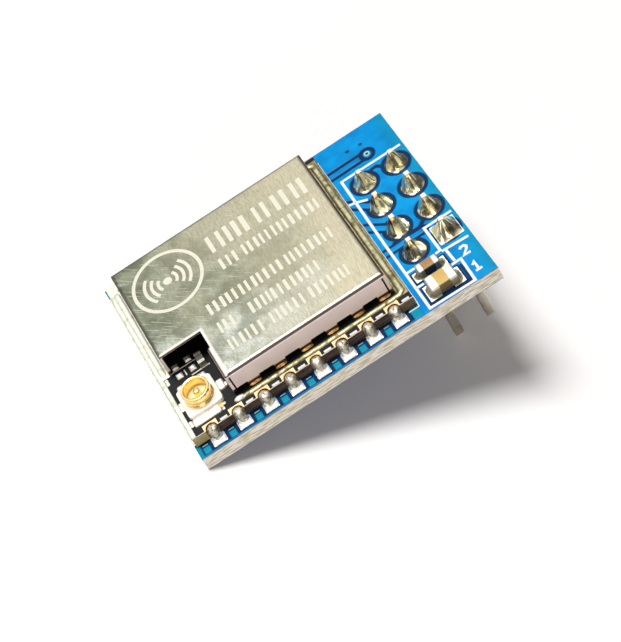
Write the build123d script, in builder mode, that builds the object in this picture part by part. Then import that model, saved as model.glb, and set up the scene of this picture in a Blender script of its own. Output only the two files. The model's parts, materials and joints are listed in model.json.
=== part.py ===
"""A small radio module on its adapter board, as it lies on a table.

The pieces are drawn in the carrier board's own frame, in millimetres: X runs along the board from the antenna
end to the header end, Y from the near long edge to the far one, and Z = 0 is the board's top face. At the end
every piece gets one and the same turn and shift, which puts the module in its resting pose: the board leans on
its bottom left-hand edge and on the tips of the inner row of header pins.
"""

import os
from math import atan2, cos, degrees, sin

from build123d import *

os.makedirs("parts", exist_ok=True)

# Carrier board: glass-epoxy sheet with a coloured mask
carrier_thickness = 1.2
foil = 0.04  # copper with its tin or gold

# Module board, soldered flat on the carrier board
module_length = 17.0
module_depth = 15.7
module_thickness = 0.8
module_left_margin = 0.15  # from the carrier's left end
module_near_margin = 1.1  # from the carrier's near edge
module_far_margin = 0.8  # from the carrier's far edge

# Castellations: half-round notches on both long edges of the module board, each with a pad on top
notch_pitch = 2.0
notch_end_margin = 1.2  # least room from the module's ends to the middle of a notch
notch_radius = 0.42
notch_pad_width = 1.05
notch_pad_depth = 0.52

# Lands for the module on the carrier board
land_width = 1.0
land_edge_margin = 0.26  # from the carrier's long edges
land_under = 0.7  # how far a land runs in under the module

# Castellation solder: a plug that fills the notch, bulges out in front of it and tins the land
joint_sides = 6  # of the plug seen from above: each is small, so it gets few faces
joint_bulge = 0.14  # how far the foot stands out past the notch's own round
joint_crown = 0.1  # height of the sloping top
joint_crown_taper = 50
joint_film = 0.06
joint_film_border = 0.03

# Shield can: one sheet, folded down on all sides, with a cut-out at its near left corner
can_height = 2.05
can_sheet = 0.2
can_fold_radius = 0.3
can_left_inset = 0.9  # from the module board's left end
can_right_inset = 0.8
can_near_inset = 1.28  # from the module board's near edge
can_far_inset = 1.02
can_seam = 0.12  # open gap between two walls at a corner
cutout_clearance = 0.5  # from the solder at the socket's signal tab to the cut-out's right side
cutout_depth = 4.55
cutout_wall_depth = 2.85  # the part of the cut-out's side that is folded down
cutout_wall_stand = 0.26  # how far that folded wall stands out from the plain cut
tab_gap_width = 1.1
tab_gap_height = 0.48

# Solder bead on the ground track around the can
bead_radius = 0.2
bead_near_offset = 0.49  # from the can's wall to the middle of the bead
bead_right_offset = 0.42
bead_far_offset = 0.3
bead_left_offset = 0.4

# Solder at the foot of the can's near tabs
tab_joint_depth = 0.2
tab_joint_height = 0.2
tab_joint_length = 0.8

# Antenna socket on the module board
socket_x = 1.9  # from the module board's left end
socket_y = 2.67  # from the module board's near edge
socket_base_side = 2.6
socket_base_height = 0.35
socket_base_corner = 0.3
socket_foot_radius = 1.18
socket_foot_height = 0.14
socket_neck_radius = 0.88  # at the foot of the tapered neck
socket_neck_height = 0.22
socket_rim_radius = 1.0
socket_rim_height = 0.5
socket_bore_radius = 0.8
socket_pin_radius = 0.25
socket_pin_height = 0.62
socket_tab_width = 2.0
socket_tab_reach = 0.42  # past the base
socket_tab_thickness = 0.12
socket_signal_width = 0.6
socket_signal_reach = 0.36
socket_solder_border = 0.14  # how far the solder spreads past a tab
socket_solder_height = 0.2
socket_solder_taper = 35

# Pin header: two columns by four rows, soldered in the right-hand end
pitch = 2.54
header_columns = 2
header_rows = 4
header_gap = 3.17  # from the module board's right end to the middle between the columns
header_near_gap = 2.11  # from the middle of the small chip to the first row of pins
header_end_margin = 2.48  # from the middle between the columns to the carrier's right end
pin_side = 0.64
pin_above = 1.36  # above the board's top face
pin_bevel = 0.13  # at the lower end
pin_tip_height = 0.36  # of the tapered upper end
pin_tip_taper = 21
pin_free_length = 5.84  # below the housing
housing_height = 2.54
housing_notch = 0.45
drill_radius = 0.55
header_land_radius = 0.84
square_land_side = 1.8
cone_base_radius = 0.82
cone_height = 1.12
cone_taper = 20.6
cone_sides = 8  # each cone is small, so it gets few faces

# Chip capacitors on the carrier board, their long side along X
large_chip_length = 2.0
large_chip_width = 1.25
large_chip_height = 0.9
large_chip_gap = 2.19  # from the module board's right end to the middle of the chip
large_chip_y = 1.25
small_chip_length = 1.6
small_chip_width = 0.78
small_chip_height = 0.75
small_chip_gap = 2.01
small_chip_pitch = 1.73  # from the middle of the large chip
large_end_length = 0.6
small_end_length = 0.4
inner_end_length = 0.25
end_wall = 0.05
end_ease = 0.06
large_pad_overhang = 0.34
large_pad_width = 1.42
small_pad_overhang = 0.42
small_pad_width = 0.84
chip_pad_inner = 0.5  # how far a land reaches in under its chip
chip_joint_share = 0.7  # of the chip's height
chip_joint_sag = 0.08

# Pieces under the can: those in its cut-out are placed from the module board's near left corner
inner_chip_length = 1.0
inner_chip_width = 0.5
inner_chip_height = 0.5
inner_chip_gap = 0.6  # between neighbours in a row
inner_row_count = 3
inner_row_clearance = 0.5  # from the transceiver's leads to a row
inner_column_offsets = (-2.1, -0.4)  # from the transceiver's middle
matching_chip_place = (3.17, 5.35)  # seen in the can's cut-out
bare_land_side = 0.46
bare_land_places = [(2.43, 5.27), (2.43, 6.2), (1.43, 5.27), (1.43, 6.15)]
bare_land_dome = 0.1
bare_land_taper = 45
transceiver_side = 6.0
transceiver_height = 0.85
transceiver_stand = 0.05
transceiver_corner = 0.2
transceiver_offset = 0.4  # from the can's middle, towards its right wall
transceiver_lead_count = 7
transceiver_lead_pitch = 0.65
transceiver_lead_width = 0.3
transceiver_lead_length = 0.5
transceiver_lead_reach = 0.12
crystal_length = 2.0
crystal_width = 2.5
crystal_base_height = 0.45
crystal_lid_height = 0.25
crystal_lid_border = 0.15
crystal_wall_clearance = 0.25  # from the can's right wall
crystal_offset = 2.1  # from the transceiver's middle, towards the far wall
switch_length = 2.0
switch_width = 1.25
switch_height = 0.9
switch_stand = 0.1
switch_wall_clearance = 0.3  # from the can's left wall
switch_offset = 1.6  # from the transceiver's middle, towards the far wall
switch_lead_count = 3
switch_lead_pitch = 0.65
switch_lead_width = 0.25
switch_lead_thickness = 0.12
switch_lead_reach = 0.4
switch_lead_level = 0.35

# Levels and outlines that follow from the sizes above
land_top = foil
module_bottom = foil
joint_height = module_thickness + foil  # from the land up to the face of the pad
module_top = module_bottom + module_thickness
module_left = module_left_margin
module_right = module_left + module_length
module_near = module_near_margin
module_far = module_near + module_depth
carrier_depth = module_far + module_far_margin
can_left = module_left + can_left_inset
can_right = module_right - can_right_inset
can_near = module_near + can_near_inset
can_far = module_far - can_far_inset
can_length = can_right - can_left
can_depth = can_far - can_near
can_top = module_top + can_height
can_middle = ((can_left + can_right) / 2, (can_near + can_far) / 2)
board_bottom = -carrier_thickness
housing_bottom = board_bottom - housing_height
pin_bottom = housing_bottom - pin_free_length
notch_count = int((module_length - 2 * notch_end_margin) / notch_pitch) + 1
notch_x = [
    (module_left + module_right) / 2 + (i - (notch_count - 1) / 2) * notch_pitch for i in range(notch_count)
]
small_chip_y = large_chip_y + small_chip_pitch
header_middle_x = module_right + header_gap
header_middle_y = small_chip_y + header_near_gap + (header_rows - 1) / 2 * pitch
carrier_length = header_middle_x + header_end_margin
large_chip_place = (module_right + large_chip_gap, large_chip_y)
small_chip_place = (module_right + small_chip_gap, small_chip_y)
transceiver_middle = (can_middle[0] + transceiver_offset, can_middle[1])
pin_x = [header_middle_x + (i - (header_columns - 1) / 2) * pitch for i in range(header_columns)]
pin_y = [header_middle_y + (i - (header_rows - 1) / 2) * pitch for i in range(header_rows)]
pin_places = [(x, y) for x in pin_x for y in pin_y]
first_pin_place = (pin_x[-1], pin_y[0])
round_land_places = [place for place in pin_places if place != first_pin_place]
socket_middle = (module_left + socket_x, module_near + socket_y)
socket_right = socket_middle[0] + socket_base_side / 2
socket_base_top = module_top + socket_base_height
standing = (Align.CENTER, Align.CENTER, Align.MIN)


def on_module(place):
    """Gives the board position of a place that is measured from the module board's near left corner."""
    return module_left + place[0], module_near + place[1]


# Carrier board, with the drilled header holes
with BuildPart() as carrier_board:
    with BuildSketch(Plane.XY.offset(board_bottom)):
        Rectangle(carrier_length, carrier_depth, align=(Align.MIN, Align.MIN))
        with Locations(*pin_places):
            Circle(drill_radius, mode=Mode.SUBTRACT)
    extrude(amount=carrier_thickness)
carrier_board.part.label = "carrier_board"

# Header lands: a round one at each pin, and a square one at the first pin
with BuildPart() as header_lands:
    with BuildSketch():
        with Locations(*round_land_places):
            Circle(header_land_radius)
        with Locations(first_pin_place):
            Rectangle(square_land_side, square_land_side)
        with Locations(*pin_places):
            Rectangle(pin_side, pin_side, mode=Mode.SUBTRACT)
    extrude(amount=foil)
header_lands.part.label = "header_lands"

# Lands for the module: one under each castellation, reaching out towards the carrier's long edges
near_land_reach = module_near - land_edge_margin
far_land_reach = carrier_depth - land_edge_margin - module_far
with BuildPart() as module_lands:
    with BuildSketch():
        with Locations(*[(x, land_edge_margin) for x in notch_x]):
            Rectangle(land_width, near_land_reach + land_under, align=(Align.CENTER, Align.MIN))
        with Locations(*[(x, carrier_depth - land_edge_margin) for x in notch_x]):
            Rectangle(land_width, far_land_reach + land_under, align=(Align.CENTER, Align.MAX))
    extrude(amount=foil)
module_lands.part.label = "module_lands"

# Module board: the half-round notches go through both long edges
with BuildPart() as module_board:
    with BuildSketch(Plane.XY.offset(module_bottom)):
        with Locations((module_left, module_near)):
            Rectangle(module_length, module_depth, align=(Align.MIN, Align.MIN))
        with Locations(*[(x, y) for x in notch_x for y in (module_near, module_far)]):
            Circle(notch_radius, mode=Mode.SUBTRACT)
    extrude(amount=module_thickness)
module_board.part.label = "module_board"

# Castellation pads: gold-plated foil on the module's top, round the inner side of each notch
with BuildPart() as castellation_pads:
    with BuildSketch(Plane.XY.offset(module_top)):
        with Locations(*[(x, module_near) for x in notch_x]):
            Rectangle(notch_pad_width, notch_pad_depth, align=(Align.CENTER, Align.MIN))
        with Locations(*[(x, module_far) for x in notch_x]):
            Rectangle(notch_pad_width, notch_pad_depth, align=(Align.CENTER, Align.MAX))
        with Locations(*[(x, y) for x in notch_x for y in (module_near, module_far)]):
            Circle(notch_radius, mode=Mode.SUBTRACT)
    extrude(amount=foil)
castellation_pads.part.label = "castellation_pads"


def castellation_solder(land_reach):
    """Makes one joint for a notch in an edge along X, with the module on its +Y side.

    It stands on its land, which reaches that far out from the edge.
    """
    half_plane = (Align.CENTER, Align.MIN)
    with BuildPart() as joint:
        with BuildSketch():
            RegularPolygon(notch_radius, joint_sides)
        extrude(amount=joint_height - joint_crown)
        extrude(joint.faces().sort_by(Axis.Z)[-1], amount=joint_crown, taper=joint_crown_taper)
        with BuildSketch() as foot:
            RegularPolygon(notch_radius + joint_bulge, joint_sides)
            Rectangle(4 * notch_radius, 2 * notch_radius, align=half_plane, mode=Mode.SUBTRACT)
        with BuildSketch(Plane.XY.offset(joint_height - joint_crown)) as shoulder:
            RegularPolygon(notch_radius, joint_sides)
            Rectangle(4 * notch_radius, 2 * notch_radius, align=half_plane, mode=Mode.SUBTRACT)
        loft([foot.sketch, shoulder.sketch])
        with BuildSketch():
            film_width = land_width - 2 * joint_film_border
            Rectangle(film_width, land_reach - joint_film_border, align=(Align.CENTER, Align.MAX))
        extrude(amount=joint_film)
    return joint.part


near_notches = [Location((x, module_near, 0)) for x in notch_x]
far_notches = [Location((x, module_far, 0), (0, 0, 180)) for x in notch_x]

with BuildPart() as solder_joints_near:
    with Locations(Location((0, 0, land_top))):
        with Locations(*near_notches):
            add(castellation_solder(near_land_reach))
solder_joints_near.part.label = "solder_joints_near"

with BuildPart() as solder_joints_far:
    with Locations(Location((0, 0, land_top))):
        with Locations(*far_notches):
            add(castellation_solder(far_land_reach))
solder_joints_far.part.label = "solder_joints_far"

# Shield can: a folded box of sheet, hollowed, then cut out, seamed at its corners and notched along its foot
cutout_right = socket_right + socket_signal_reach + socket_solder_border + cutout_clearance
cutout_length = cutout_right - can_left
cutout_far = can_near + cutout_depth
cutout_wall_left = cutout_right - cutout_wall_stand
near_wall_left = cutout_wall_left + can_sheet + can_seam
with BuildPart() as can_hollow:
    with BuildSketch(Plane.XY.offset(module_top)):
        with Locations(can_middle):
            Rectangle(can_length - 2 * can_sheet, can_depth - 2 * can_sheet)
    extrude(amount=can_height - can_sheet)
    fillet(can_hollow.faces().sort_by(Axis.Z)[-1].edges(), radius=can_fold_radius - can_sheet)

with BuildPart() as shield_can:
    with BuildSketch(Plane.XY.offset(module_top)):
        with Locations(can_middle):
            Rectangle(can_length, can_depth)
    extrude(amount=can_height)
    fillet(shield_can.faces().sort_by(Axis.Z)[-1].edges(), radius=can_fold_radius)
    add(can_hollow.part, mode=Mode.SUBTRACT)
    # cut-out, in two steps where the side wall stands out from the plain cut
    with BuildSketch(Plane.XY.offset(module_top)):
        with Locations((can_left, can_near)):
            Rectangle(cutout_wall_left - can_left, cutout_wall_depth, align=(Align.MIN, Align.MIN))
        with Locations((can_left, can_near + cutout_wall_depth)):
            Rectangle(cutout_length, cutout_depth - cutout_wall_depth, align=(Align.MIN, Align.MIN))
    extrude(amount=can_height, mode=Mode.SUBTRACT)
    # the cut-out's side wall, folded down from the top
    with BuildSketch(Plane.XY.offset(module_top)):
        with Locations((cutout_wall_left, can_near)):
            Rectangle(can_sheet, cutout_wall_depth, align=(Align.MIN, Align.MIN))
    extrude(amount=can_height - can_fold_radius)
    with BuildSketch(Plane.XZ.offset(-can_near)):
        with Locations((cutout_wall_left, can_top)):
            Rectangle(can_fold_radius, can_fold_radius, align=(Align.MIN, Align.MAX))
        with Locations((cutout_wall_left + can_fold_radius, can_top - can_fold_radius)):
            Circle(can_fold_radius - can_sheet, mode=Mode.SUBTRACT)
    extrude(amount=-cutout_wall_depth)
    with BuildSketch(Plane.XZ.offset(-can_near)):
        with Locations((cutout_wall_left, can_top)):
            Rectangle(can_fold_radius, can_fold_radius, align=(Align.MIN, Align.MAX))
        with Locations((cutout_wall_left + can_fold_radius, can_top - can_fold_radius)):
            Circle(can_fold_radius, mode=Mode.SUBTRACT)
    extrude(amount=-cutout_wall_depth, mode=Mode.SUBTRACT)
    # open seams at the corners, from the foot up to the fold
    seam_height = can_height - can_fold_radius
    with BuildSketch(Plane.XY.offset(module_top)):
        with Locations((near_wall_left, can_near), (can_right - can_sheet, can_near)):
            Rectangle(can_seam, can_sheet, align=(Align.MAX, Align.MIN))
        with Locations((can_right - can_sheet, can_far)):
            Rectangle(can_seam, can_sheet, align=(Align.MAX, Align.MAX))
        with Locations((can_left + can_sheet, can_far)):
            Rectangle(can_seam, can_sheet, align=(Align.MIN, Align.MAX))
    extrude(amount=seam_height, mode=Mode.SUBTRACT)
    # gaps between the tabs, midway between the castellations
    gap_x = [x - notch_pitch / 2 for x in notch_x[2:]]
    gap_far_x = [x - notch_pitch / 2 for x in notch_x[1:]]
    gap_side_y = [can_middle[1] + (i - 2) * notch_pitch for i in range(5)]
    with BuildSketch(Plane.XY.offset(module_top)):
        with Locations(*[(x, can_near) for x in gap_x]):
            Rectangle(tab_gap_width, can_sheet, align=(Align.CENTER, Align.MIN))
        with Locations(*[(x, can_far) for x in gap_far_x]):
            Rectangle(tab_gap_width, can_sheet, align=(Align.CENTER, Align.MAX))
        with Locations(*[(can_right, y) for y in gap_side_y]):
            Rectangle(can_sheet, tab_gap_width, align=(Align.MAX, Align.CENTER))
        with Locations(*[(can_left, y) for y in gap_side_y[2:]]):
            Rectangle(can_sheet, tab_gap_width, align=(Align.MIN, Align.CENTER))
    extrude(amount=tab_gap_height, mode=Mode.SUBTRACT)
shield_can.part.label = "shield_can"

# Solder bead: half-round runs on the ground track around the can
bead_near = can_near - bead_near_offset
bead_far = can_far + bead_far_offset
bead_left = can_left - bead_left_offset
bead_right = can_right + bead_right_offset
bead_near_start = (cutout_wall_left, bead_near)
bead_left_end = (bead_left, cutout_far)
bead_turns = [(bead_right, bead_near), (bead_right, bead_far), (bead_left, bead_far)]
with BuildPart() as can_ground_bead:
    with BuildLine(Plane.XY.offset(module_top)):
        bead_path = Polyline(bead_near_start, *bead_turns, bead_left_end)
    with BuildSketch(Plane(origin=bead_path @ 0, x_dir=(0, 0, 1), z_dir=bead_path % 0)):
        Circle(bead_radius)
        Rectangle(bead_radius, 2 * bead_radius, align=(Align.MAX, Align.CENTER), mode=Mode.SUBTRACT)
    sweep(path=bead_path, transition=Transition.RIGHT)
can_ground_bead.part.label = "can_ground_bead"

# Solder at the foot of each near tab: a small sloping fillet
tab_x = [x for x in notch_x if x - notch_pad_width / 2 > near_wall_left]
with BuildPart() as can_tab_joints:
    with BuildSketch(*[Plane.YZ.offset(x - tab_joint_length / 2) for x in tab_x]):
        with BuildLine():
            foot = Line((can_near, module_top), (can_near - tab_joint_depth, module_top))
            top = (can_near, module_top + tab_joint_height)
            Line(foot @ 1, top)
            Line(top, foot @ 0)
        make_face()
    extrude(amount=tab_joint_length)
can_tab_joints.part.label = "can_tab_joints"

# Antenna socket base: a moulded square with cut corners
with BuildPart() as socket_base:
    with BuildSketch(Plane.XY.offset(module_top)):
        with Locations(socket_middle):
            base_outline = Rectangle(socket_base_side, socket_base_side)
        chamfer(base_outline.vertices(), socket_base_corner)
    extrude(amount=socket_base_height)
socket_base.part.label = "socket_base"

# Antenna socket shell: foot, tapered neck and rim turned in one, open at the top
foot_top = socket_foot_height
neck_top = foot_top + socket_neck_height
rim_top = neck_top + socket_rim_height
with BuildPart() as socket_shell:
    with BuildSketch(Plane(origin=(*socket_middle, socket_base_top), x_dir=(1, 0, 0), z_dir=(0, -1, 0))):
        with BuildLine():
            Polyline(
                (socket_bore_radius, 0),
                (socket_foot_radius, 0),
                (socket_foot_radius, foot_top),
                (socket_neck_radius, foot_top),
                (socket_rim_radius, neck_top),
                (socket_rim_radius, rim_top),
                (socket_bore_radius, rim_top),
                (socket_bore_radius, 0),
            )
        make_face()
    revolve(axis=Axis((*socket_middle, socket_base_top), (0, 0, 1)))
socket_shell.part.label = "socket_shell"

# Antenna socket pin: a turned pin that stands on the base
with BuildPart() as socket_pin:
    with BuildSketch(Plane.XY.offset(socket_base_top)):
        with Locations(socket_middle):
            Circle(socket_pin_radius)
    extrude(amount=socket_pin_height)
socket_pin.part.label = "socket_pin"

# Antenna socket tabs: two ground tabs along X at the near and far sides, and the signal tab on the right
half_base = socket_base_side / 2
near_tab = (socket_middle[0], socket_middle[1] - half_base)
far_tab = (socket_middle[0], socket_middle[1] + half_base)
signal_tab = (socket_middle[0] + half_base, socket_middle[1])
with BuildPart() as socket_tabs:
    with BuildSketch(Plane.XY.offset(module_top)):
        with Locations(near_tab):
            Rectangle(socket_tab_width, socket_tab_reach, align=(Align.CENTER, Align.MAX))
        with Locations(far_tab):
            Rectangle(socket_tab_width, socket_tab_reach, align=(Align.CENTER, Align.MIN))
        with Locations(signal_tab):
            Rectangle(socket_signal_reach, socket_signal_width, align=(Align.MIN, Align.CENTER))
    extrude(amount=socket_tab_thickness)
socket_tabs.part.label = "socket_tabs"

# Solder over those tabs: low mounds with sloping sides, hollow where the tabs lie
with BuildPart() as socket_solder:
    with BuildSketch(Plane.XY.offset(module_top)):
        mound_width = socket_tab_width + 2 * socket_solder_border
        mound_reach = socket_tab_reach + socket_solder_border
        with Locations(near_tab):
            Rectangle(mound_width, mound_reach, align=(Align.CENTER, Align.MAX))
        with Locations(far_tab):
            Rectangle(mound_width, mound_reach, align=(Align.CENTER, Align.MIN))
        with Locations(signal_tab):
            signal_reach = socket_signal_reach + socket_solder_border
            signal_width = socket_signal_width + 2 * socket_solder_border
            Rectangle(signal_reach, signal_width, align=(Align.MIN, Align.CENTER))
    extrude(amount=socket_solder_height, taper=socket_solder_taper)
    add(socket_tabs.part, mode=Mode.SUBTRACT)
socket_solder.part.label = "socket_solder"

# Header housing: one square cell with cut corners for each pin, all moulded in one
with BuildSketch() as housing_cell:
    cell_outline = Rectangle(pitch, pitch)
    chamfer(cell_outline.vertices(), housing_notch)
with BuildPart() as header_housing:
    with BuildSketch(Plane.XY.offset(housing_bottom)):
        with Locations(*pin_places):
            add(housing_cell.sketch)
        with Locations(*pin_places):
            Rectangle(pin_side, pin_side, mode=Mode.SUBTRACT)
    extrude(amount=housing_height)
header_housing.part.label = "header_housing"

# Header pins: square wire, tapered at the top and bevelled below, from above the board down through the housing
with BuildPart() as pin_form:
    with BuildSketch(Plane.XY.offset(pin_bottom)):
        Rectangle(pin_side, pin_side)
    extrude(amount=pin_above - pin_tip_height - pin_bottom)
    extrude(pin_form.faces().sort_by(Axis.Z)[-1], amount=pin_tip_height, taper=pin_tip_taper)
    chamfer(pin_form.faces().sort_by(Axis.Z)[0].edges(), length=pin_bevel)
with BuildPart() as header_pins:
    with Locations(*[(x, y, 0) for x, y in pin_places]):
        add(pin_form.part)
header_pins.part.label = "header_pins"

# Header solder: a cone that climbs from each land up the pin
with BuildPart() as cone_form:
    with BuildSketch(Plane.XY.offset(land_top)):
        RegularPolygon(cone_base_radius, cone_sides)
    extrude(amount=cone_height, taper=cone_taper)
    add(pin_form.part, mode=Mode.SUBTRACT)
with BuildPart() as header_solder:
    with Locations(*[(x, y, 0) for x, y in pin_places]):
        add(cone_form.part)
header_solder.part.label = "header_solder"


def chip_core(length, width, height):
    """Makes a chip's ceramic body, which the metallised ends wrap, standing on its land at the origin."""
    with BuildPart() as core:
        with Locations((0, 0, end_wall)):
            Box(length - 2 * end_wall, width - 2 * end_wall, height - 2 * end_wall, align=standing)
    return core.part


def chip_ends(length, width, height, end_length):
    """Makes a chip's two metallised ends: caps with eased edges that wrap the body on five sides."""
    with BuildPart() as ends:
        Box(length, width, height, align=standing)
        outer_faces = [ends.faces().sort_by(Axis.X)[0], ends.faces().sort_by(Axis.X)[-1]]
        chamfer([edge for face in outer_faces for edge in face.edges()], length=end_ease)
        Box(length - 2 * end_length, width, height, align=standing, mode=Mode.SUBTRACT)
        add(chip_core(length, width, height), mode=Mode.SUBTRACT)
    return ends.part


# Chip capacitors on the carrier board: ceramic bodies and metallised ends
large_chip_seat = Location((*large_chip_place, land_top))
small_chip_seat = Location((*small_chip_place, land_top))
with BuildPart() as large_capacitor_body:
    with Locations(large_chip_seat):
        add(chip_core(large_chip_length, large_chip_width, large_chip_height))
large_capacitor_body.part.label = "large_capacitor_body"

with BuildPart() as large_capacitor_ends:
    with Locations(large_chip_seat):
        add(chip_ends(large_chip_length, large_chip_width, large_chip_height, large_end_length))
large_capacitor_ends.part.label = "large_capacitor_ends"

with BuildPart() as small_capacitor_body:
    with Locations(small_chip_seat):
        add(chip_core(small_chip_length, small_chip_width, small_chip_height))
small_capacitor_body.part.label = "small_capacitor_body"

with BuildPart() as small_capacitor_ends:
    with Locations(small_chip_seat):
        add(chip_ends(small_chip_length, small_chip_width, small_chip_height, small_end_length))
small_capacitor_ends.part.label = "small_capacitor_ends"

# Their lands on the carrier board, and a hollow-faced fillet of solder on each
chip_fits = [
    (large_chip_place, large_chip_length, large_chip_height, large_pad_overhang, large_pad_width),
    (small_chip_place, small_chip_length, small_chip_height, small_pad_overhang, small_pad_width),
]
with BuildPart() as capacitor_lands:
    with BuildSketch():
        for (x, y), length, height, overhang, width in chip_fits:
            reach = length / 2 + overhang
            with Locations((x - reach, y)):
                Rectangle(overhang + chip_pad_inner, width, align=(Align.MIN, Align.CENTER))
            with Locations((x + reach, y)):
                Rectangle(overhang + chip_pad_inner, width, align=(Align.MAX, Align.CENTER))
    extrude(amount=foil)
capacitor_lands.part.label = "capacitor_lands"

with BuildPart() as capacitor_solder:
    for (x, y), length, height, overhang, width in chip_fits:
        solder_top = land_top + chip_joint_share * height
        for side in (-1, 1):
            heel = (x + side * length / 2, land_top)
            toe = (x + side * (length / 2 + overhang - joint_film_border), land_top)
            crest = (heel[0], solder_top)
            with BuildSketch(Plane.XZ.offset(-y)):
                with BuildLine():
                    Line(heel, toe)
                    SagittaArc(toe, crest, -side * chip_joint_sag)
                    Line(crest, heel)
                make_face()
            extrude(amount=width / 2 - joint_film_border, both=True)
capacitor_solder.part.label = "capacitor_solder"

# Small chip capacitors under the can: a row at the near and far sides of the transceiver, a short column at its
# left and right sides, and one by itself in the cut-out
row_pitch = inner_chip_length + inner_chip_gap
inner_reach = transceiver_side / 2 + transceiver_lead_reach + inner_row_clearance + inner_chip_width / 2
row_offsets = [(i - (inner_row_count - 1) / 2) * row_pitch for i in range(inner_row_count)]
row_places = [(x, y) for x in row_offsets for y in (-inner_reach, inner_reach)]
column_places = [(x, y) for x in (-inner_reach, inner_reach) for y in inner_column_offsets]
transceiver_seat = Location((*transceiver_middle, module_top))
row_seats = [transceiver_seat * Location((x, y, 0)) for x, y in row_places]
column_seats = [transceiver_seat * Location((x, y, 0), (0, 0, 90)) for x, y in column_places]
column_seats.append(Location((*on_module(matching_chip_place), module_top), (0, 0, 90)))
with BuildPart() as inner_capacitor_bodies:
    with Locations(*row_seats, *column_seats):
        Box(inner_chip_length - 2 * inner_end_length, inner_chip_width, inner_chip_height, align=standing)
inner_capacitor_bodies.part.label = "inner_capacitor_bodies"

inner_end_middle = (inner_chip_length - inner_end_length) / 2
with BuildPart() as inner_capacitor_ends:
    with Locations(*row_seats, *column_seats):
        with Locations((-inner_end_middle, 0, 0), (inner_end_middle, 0, 0)):
            Box(inner_end_length, inner_chip_width, inner_chip_height, align=standing)
inner_capacitor_ends.part.label = "inner_capacitor_ends"

# Bare lands beside the antenna socket: each one is tinned, with a low mound on it
with BuildPart() as bare_lands:
    with BuildSketch(Plane.XY.offset(module_top)):
        with Locations(*[on_module(place) for place in bare_land_places]):
            Rectangle(bare_land_side, bare_land_side)
    extrude(amount=foil)
    with BuildSketch(Plane.XY.offset(module_top + foil)):
        with Locations(*[on_module(place) for place in bare_land_places]):
            Rectangle(bare_land_side, bare_land_side)
    extrude(amount=bare_land_dome, taper=bare_land_taper)
bare_lands.part.label = "bare_lands"

# Transceiver: a flat moulded chip with leads flush in its underside, on all four sides
with BuildPart() as transceiver_body:
    with BuildSketch(Plane.XY.offset(module_top + transceiver_stand)):
        with Locations(transceiver_middle):
            chip_outline = Rectangle(transceiver_side, transceiver_side)
        chamfer(chip_outline.vertices(), transceiver_corner)
    extrude(amount=transceiver_height)
transceiver_body.part.label = "transceiver_body"

middle_lead = (transceiver_lead_count - 1) / 2
lead_offsets = [(i - middle_lead) * transceiver_lead_pitch for i in range(transceiver_lead_count)]
with BuildPart() as transceiver_leads:
    with BuildSketch(Plane.XY.offset(module_top)):
        with Locations(transceiver_middle):
            with Locations(*[Location((0, 0), angle) for angle in (0, 90, 180, 270)]):
                lead_middle = transceiver_side / 2 + transceiver_lead_reach - transceiver_lead_length / 2
                with Locations(*[(lead_middle, offset) for offset in lead_offsets]):
                    Rectangle(transceiver_lead_length, transceiver_lead_width)
    extrude(amount=transceiver_stand)
transceiver_leads.part.label = "transceiver_leads"

# Reference crystal: a ceramic tray and the metal lid welded on it
crystal_middle = (
    can_right - can_sheet - crystal_wall_clearance - crystal_length / 2,
    transceiver_middle[1] + crystal_offset,
)
with BuildPart() as crystal_base:
    with BuildSketch(Plane.XY.offset(module_top)):
        with Locations(crystal_middle):
            Rectangle(crystal_length, crystal_width)
    extrude(amount=crystal_base_height)
crystal_base.part.label = "crystal_base"

with BuildPart() as crystal_lid:
    with BuildSketch(Plane.XY.offset(module_top + crystal_base_height)):
        with Locations(crystal_middle):
            lid_length = crystal_length - 2 * crystal_lid_border
            lid_outline = Rectangle(lid_length, crystal_width - 2 * crystal_lid_border)
        chamfer(lid_outline.vertices(), crystal_lid_border)
    extrude(amount=crystal_lid_height)
crystal_lid.part.label = "crystal_lid"

# Antenna switch: a moulded body on three bent leads a side
switch_middle = (
    can_left + can_sheet + switch_wall_clearance + switch_length / 2,
    transceiver_middle[1] + switch_offset,
)
with BuildPart() as antenna_switch_body:
    with BuildSketch(Plane.XY.offset(module_top + switch_stand)):
        with Locations(switch_middle):
            Rectangle(switch_length, switch_width)
    extrude(amount=switch_height)
antenna_switch_body.part.label = "antenna_switch_body"

switch_lead_offsets = [(i - (switch_lead_count - 1) / 2) * switch_lead_pitch for i in range(switch_lead_count)]
lead_start = switch_width / 2
lead_bend = lead_start + switch_lead_reach / 2
lead_tip = lead_start + switch_lead_reach
with BuildPart() as lead_form:
    with BuildSketch(Plane.YZ.offset(-switch_lead_width / 2)):
        with BuildLine():
            Polyline(
                (lead_start, switch_lead_level),
                (lead_start, switch_lead_level + switch_lead_thickness),
                (lead_bend, switch_lead_level + switch_lead_thickness),
                (lead_bend, switch_lead_thickness),
                (lead_tip, switch_lead_thickness),
                (lead_tip, 0),
                (lead_bend - switch_lead_thickness, 0),
                (lead_bend - switch_lead_thickness, switch_lead_level),
                (lead_start, switch_lead_level),
            )
        make_face()
    extrude(amount=switch_lead_width)
with BuildPart() as antenna_switch_leads:
    with Locations(Location((*switch_middle, module_top)), Location((*switch_middle, module_top), (0, 0, 180))):
        with Locations(*[(offset, 0, 0) for offset in switch_lead_offsets]):
            add(lead_form.part)
antenna_switch_leads.part.label = "antenna_switch_leads"

# Resting pose: the pins' inner bottom edges touch the table, so the board's slope follows from their reach
pin_reach = board_bottom - pin_bottom
pin_rest_x = pin_x[0] - pin_side / 2 + pin_bevel
slope = atan2(pin_reach, pin_rest_x)
far_tip_x = (pin_x[-1] + pin_side / 2) * cos(slope) - (pin_bottom + pin_bevel) * sin(slope)
rest_pose = Location((-far_tip_x / 2, -carrier_depth / 2, -board_bottom * cos(slope)), (0, -degrees(slope), 0))

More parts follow.
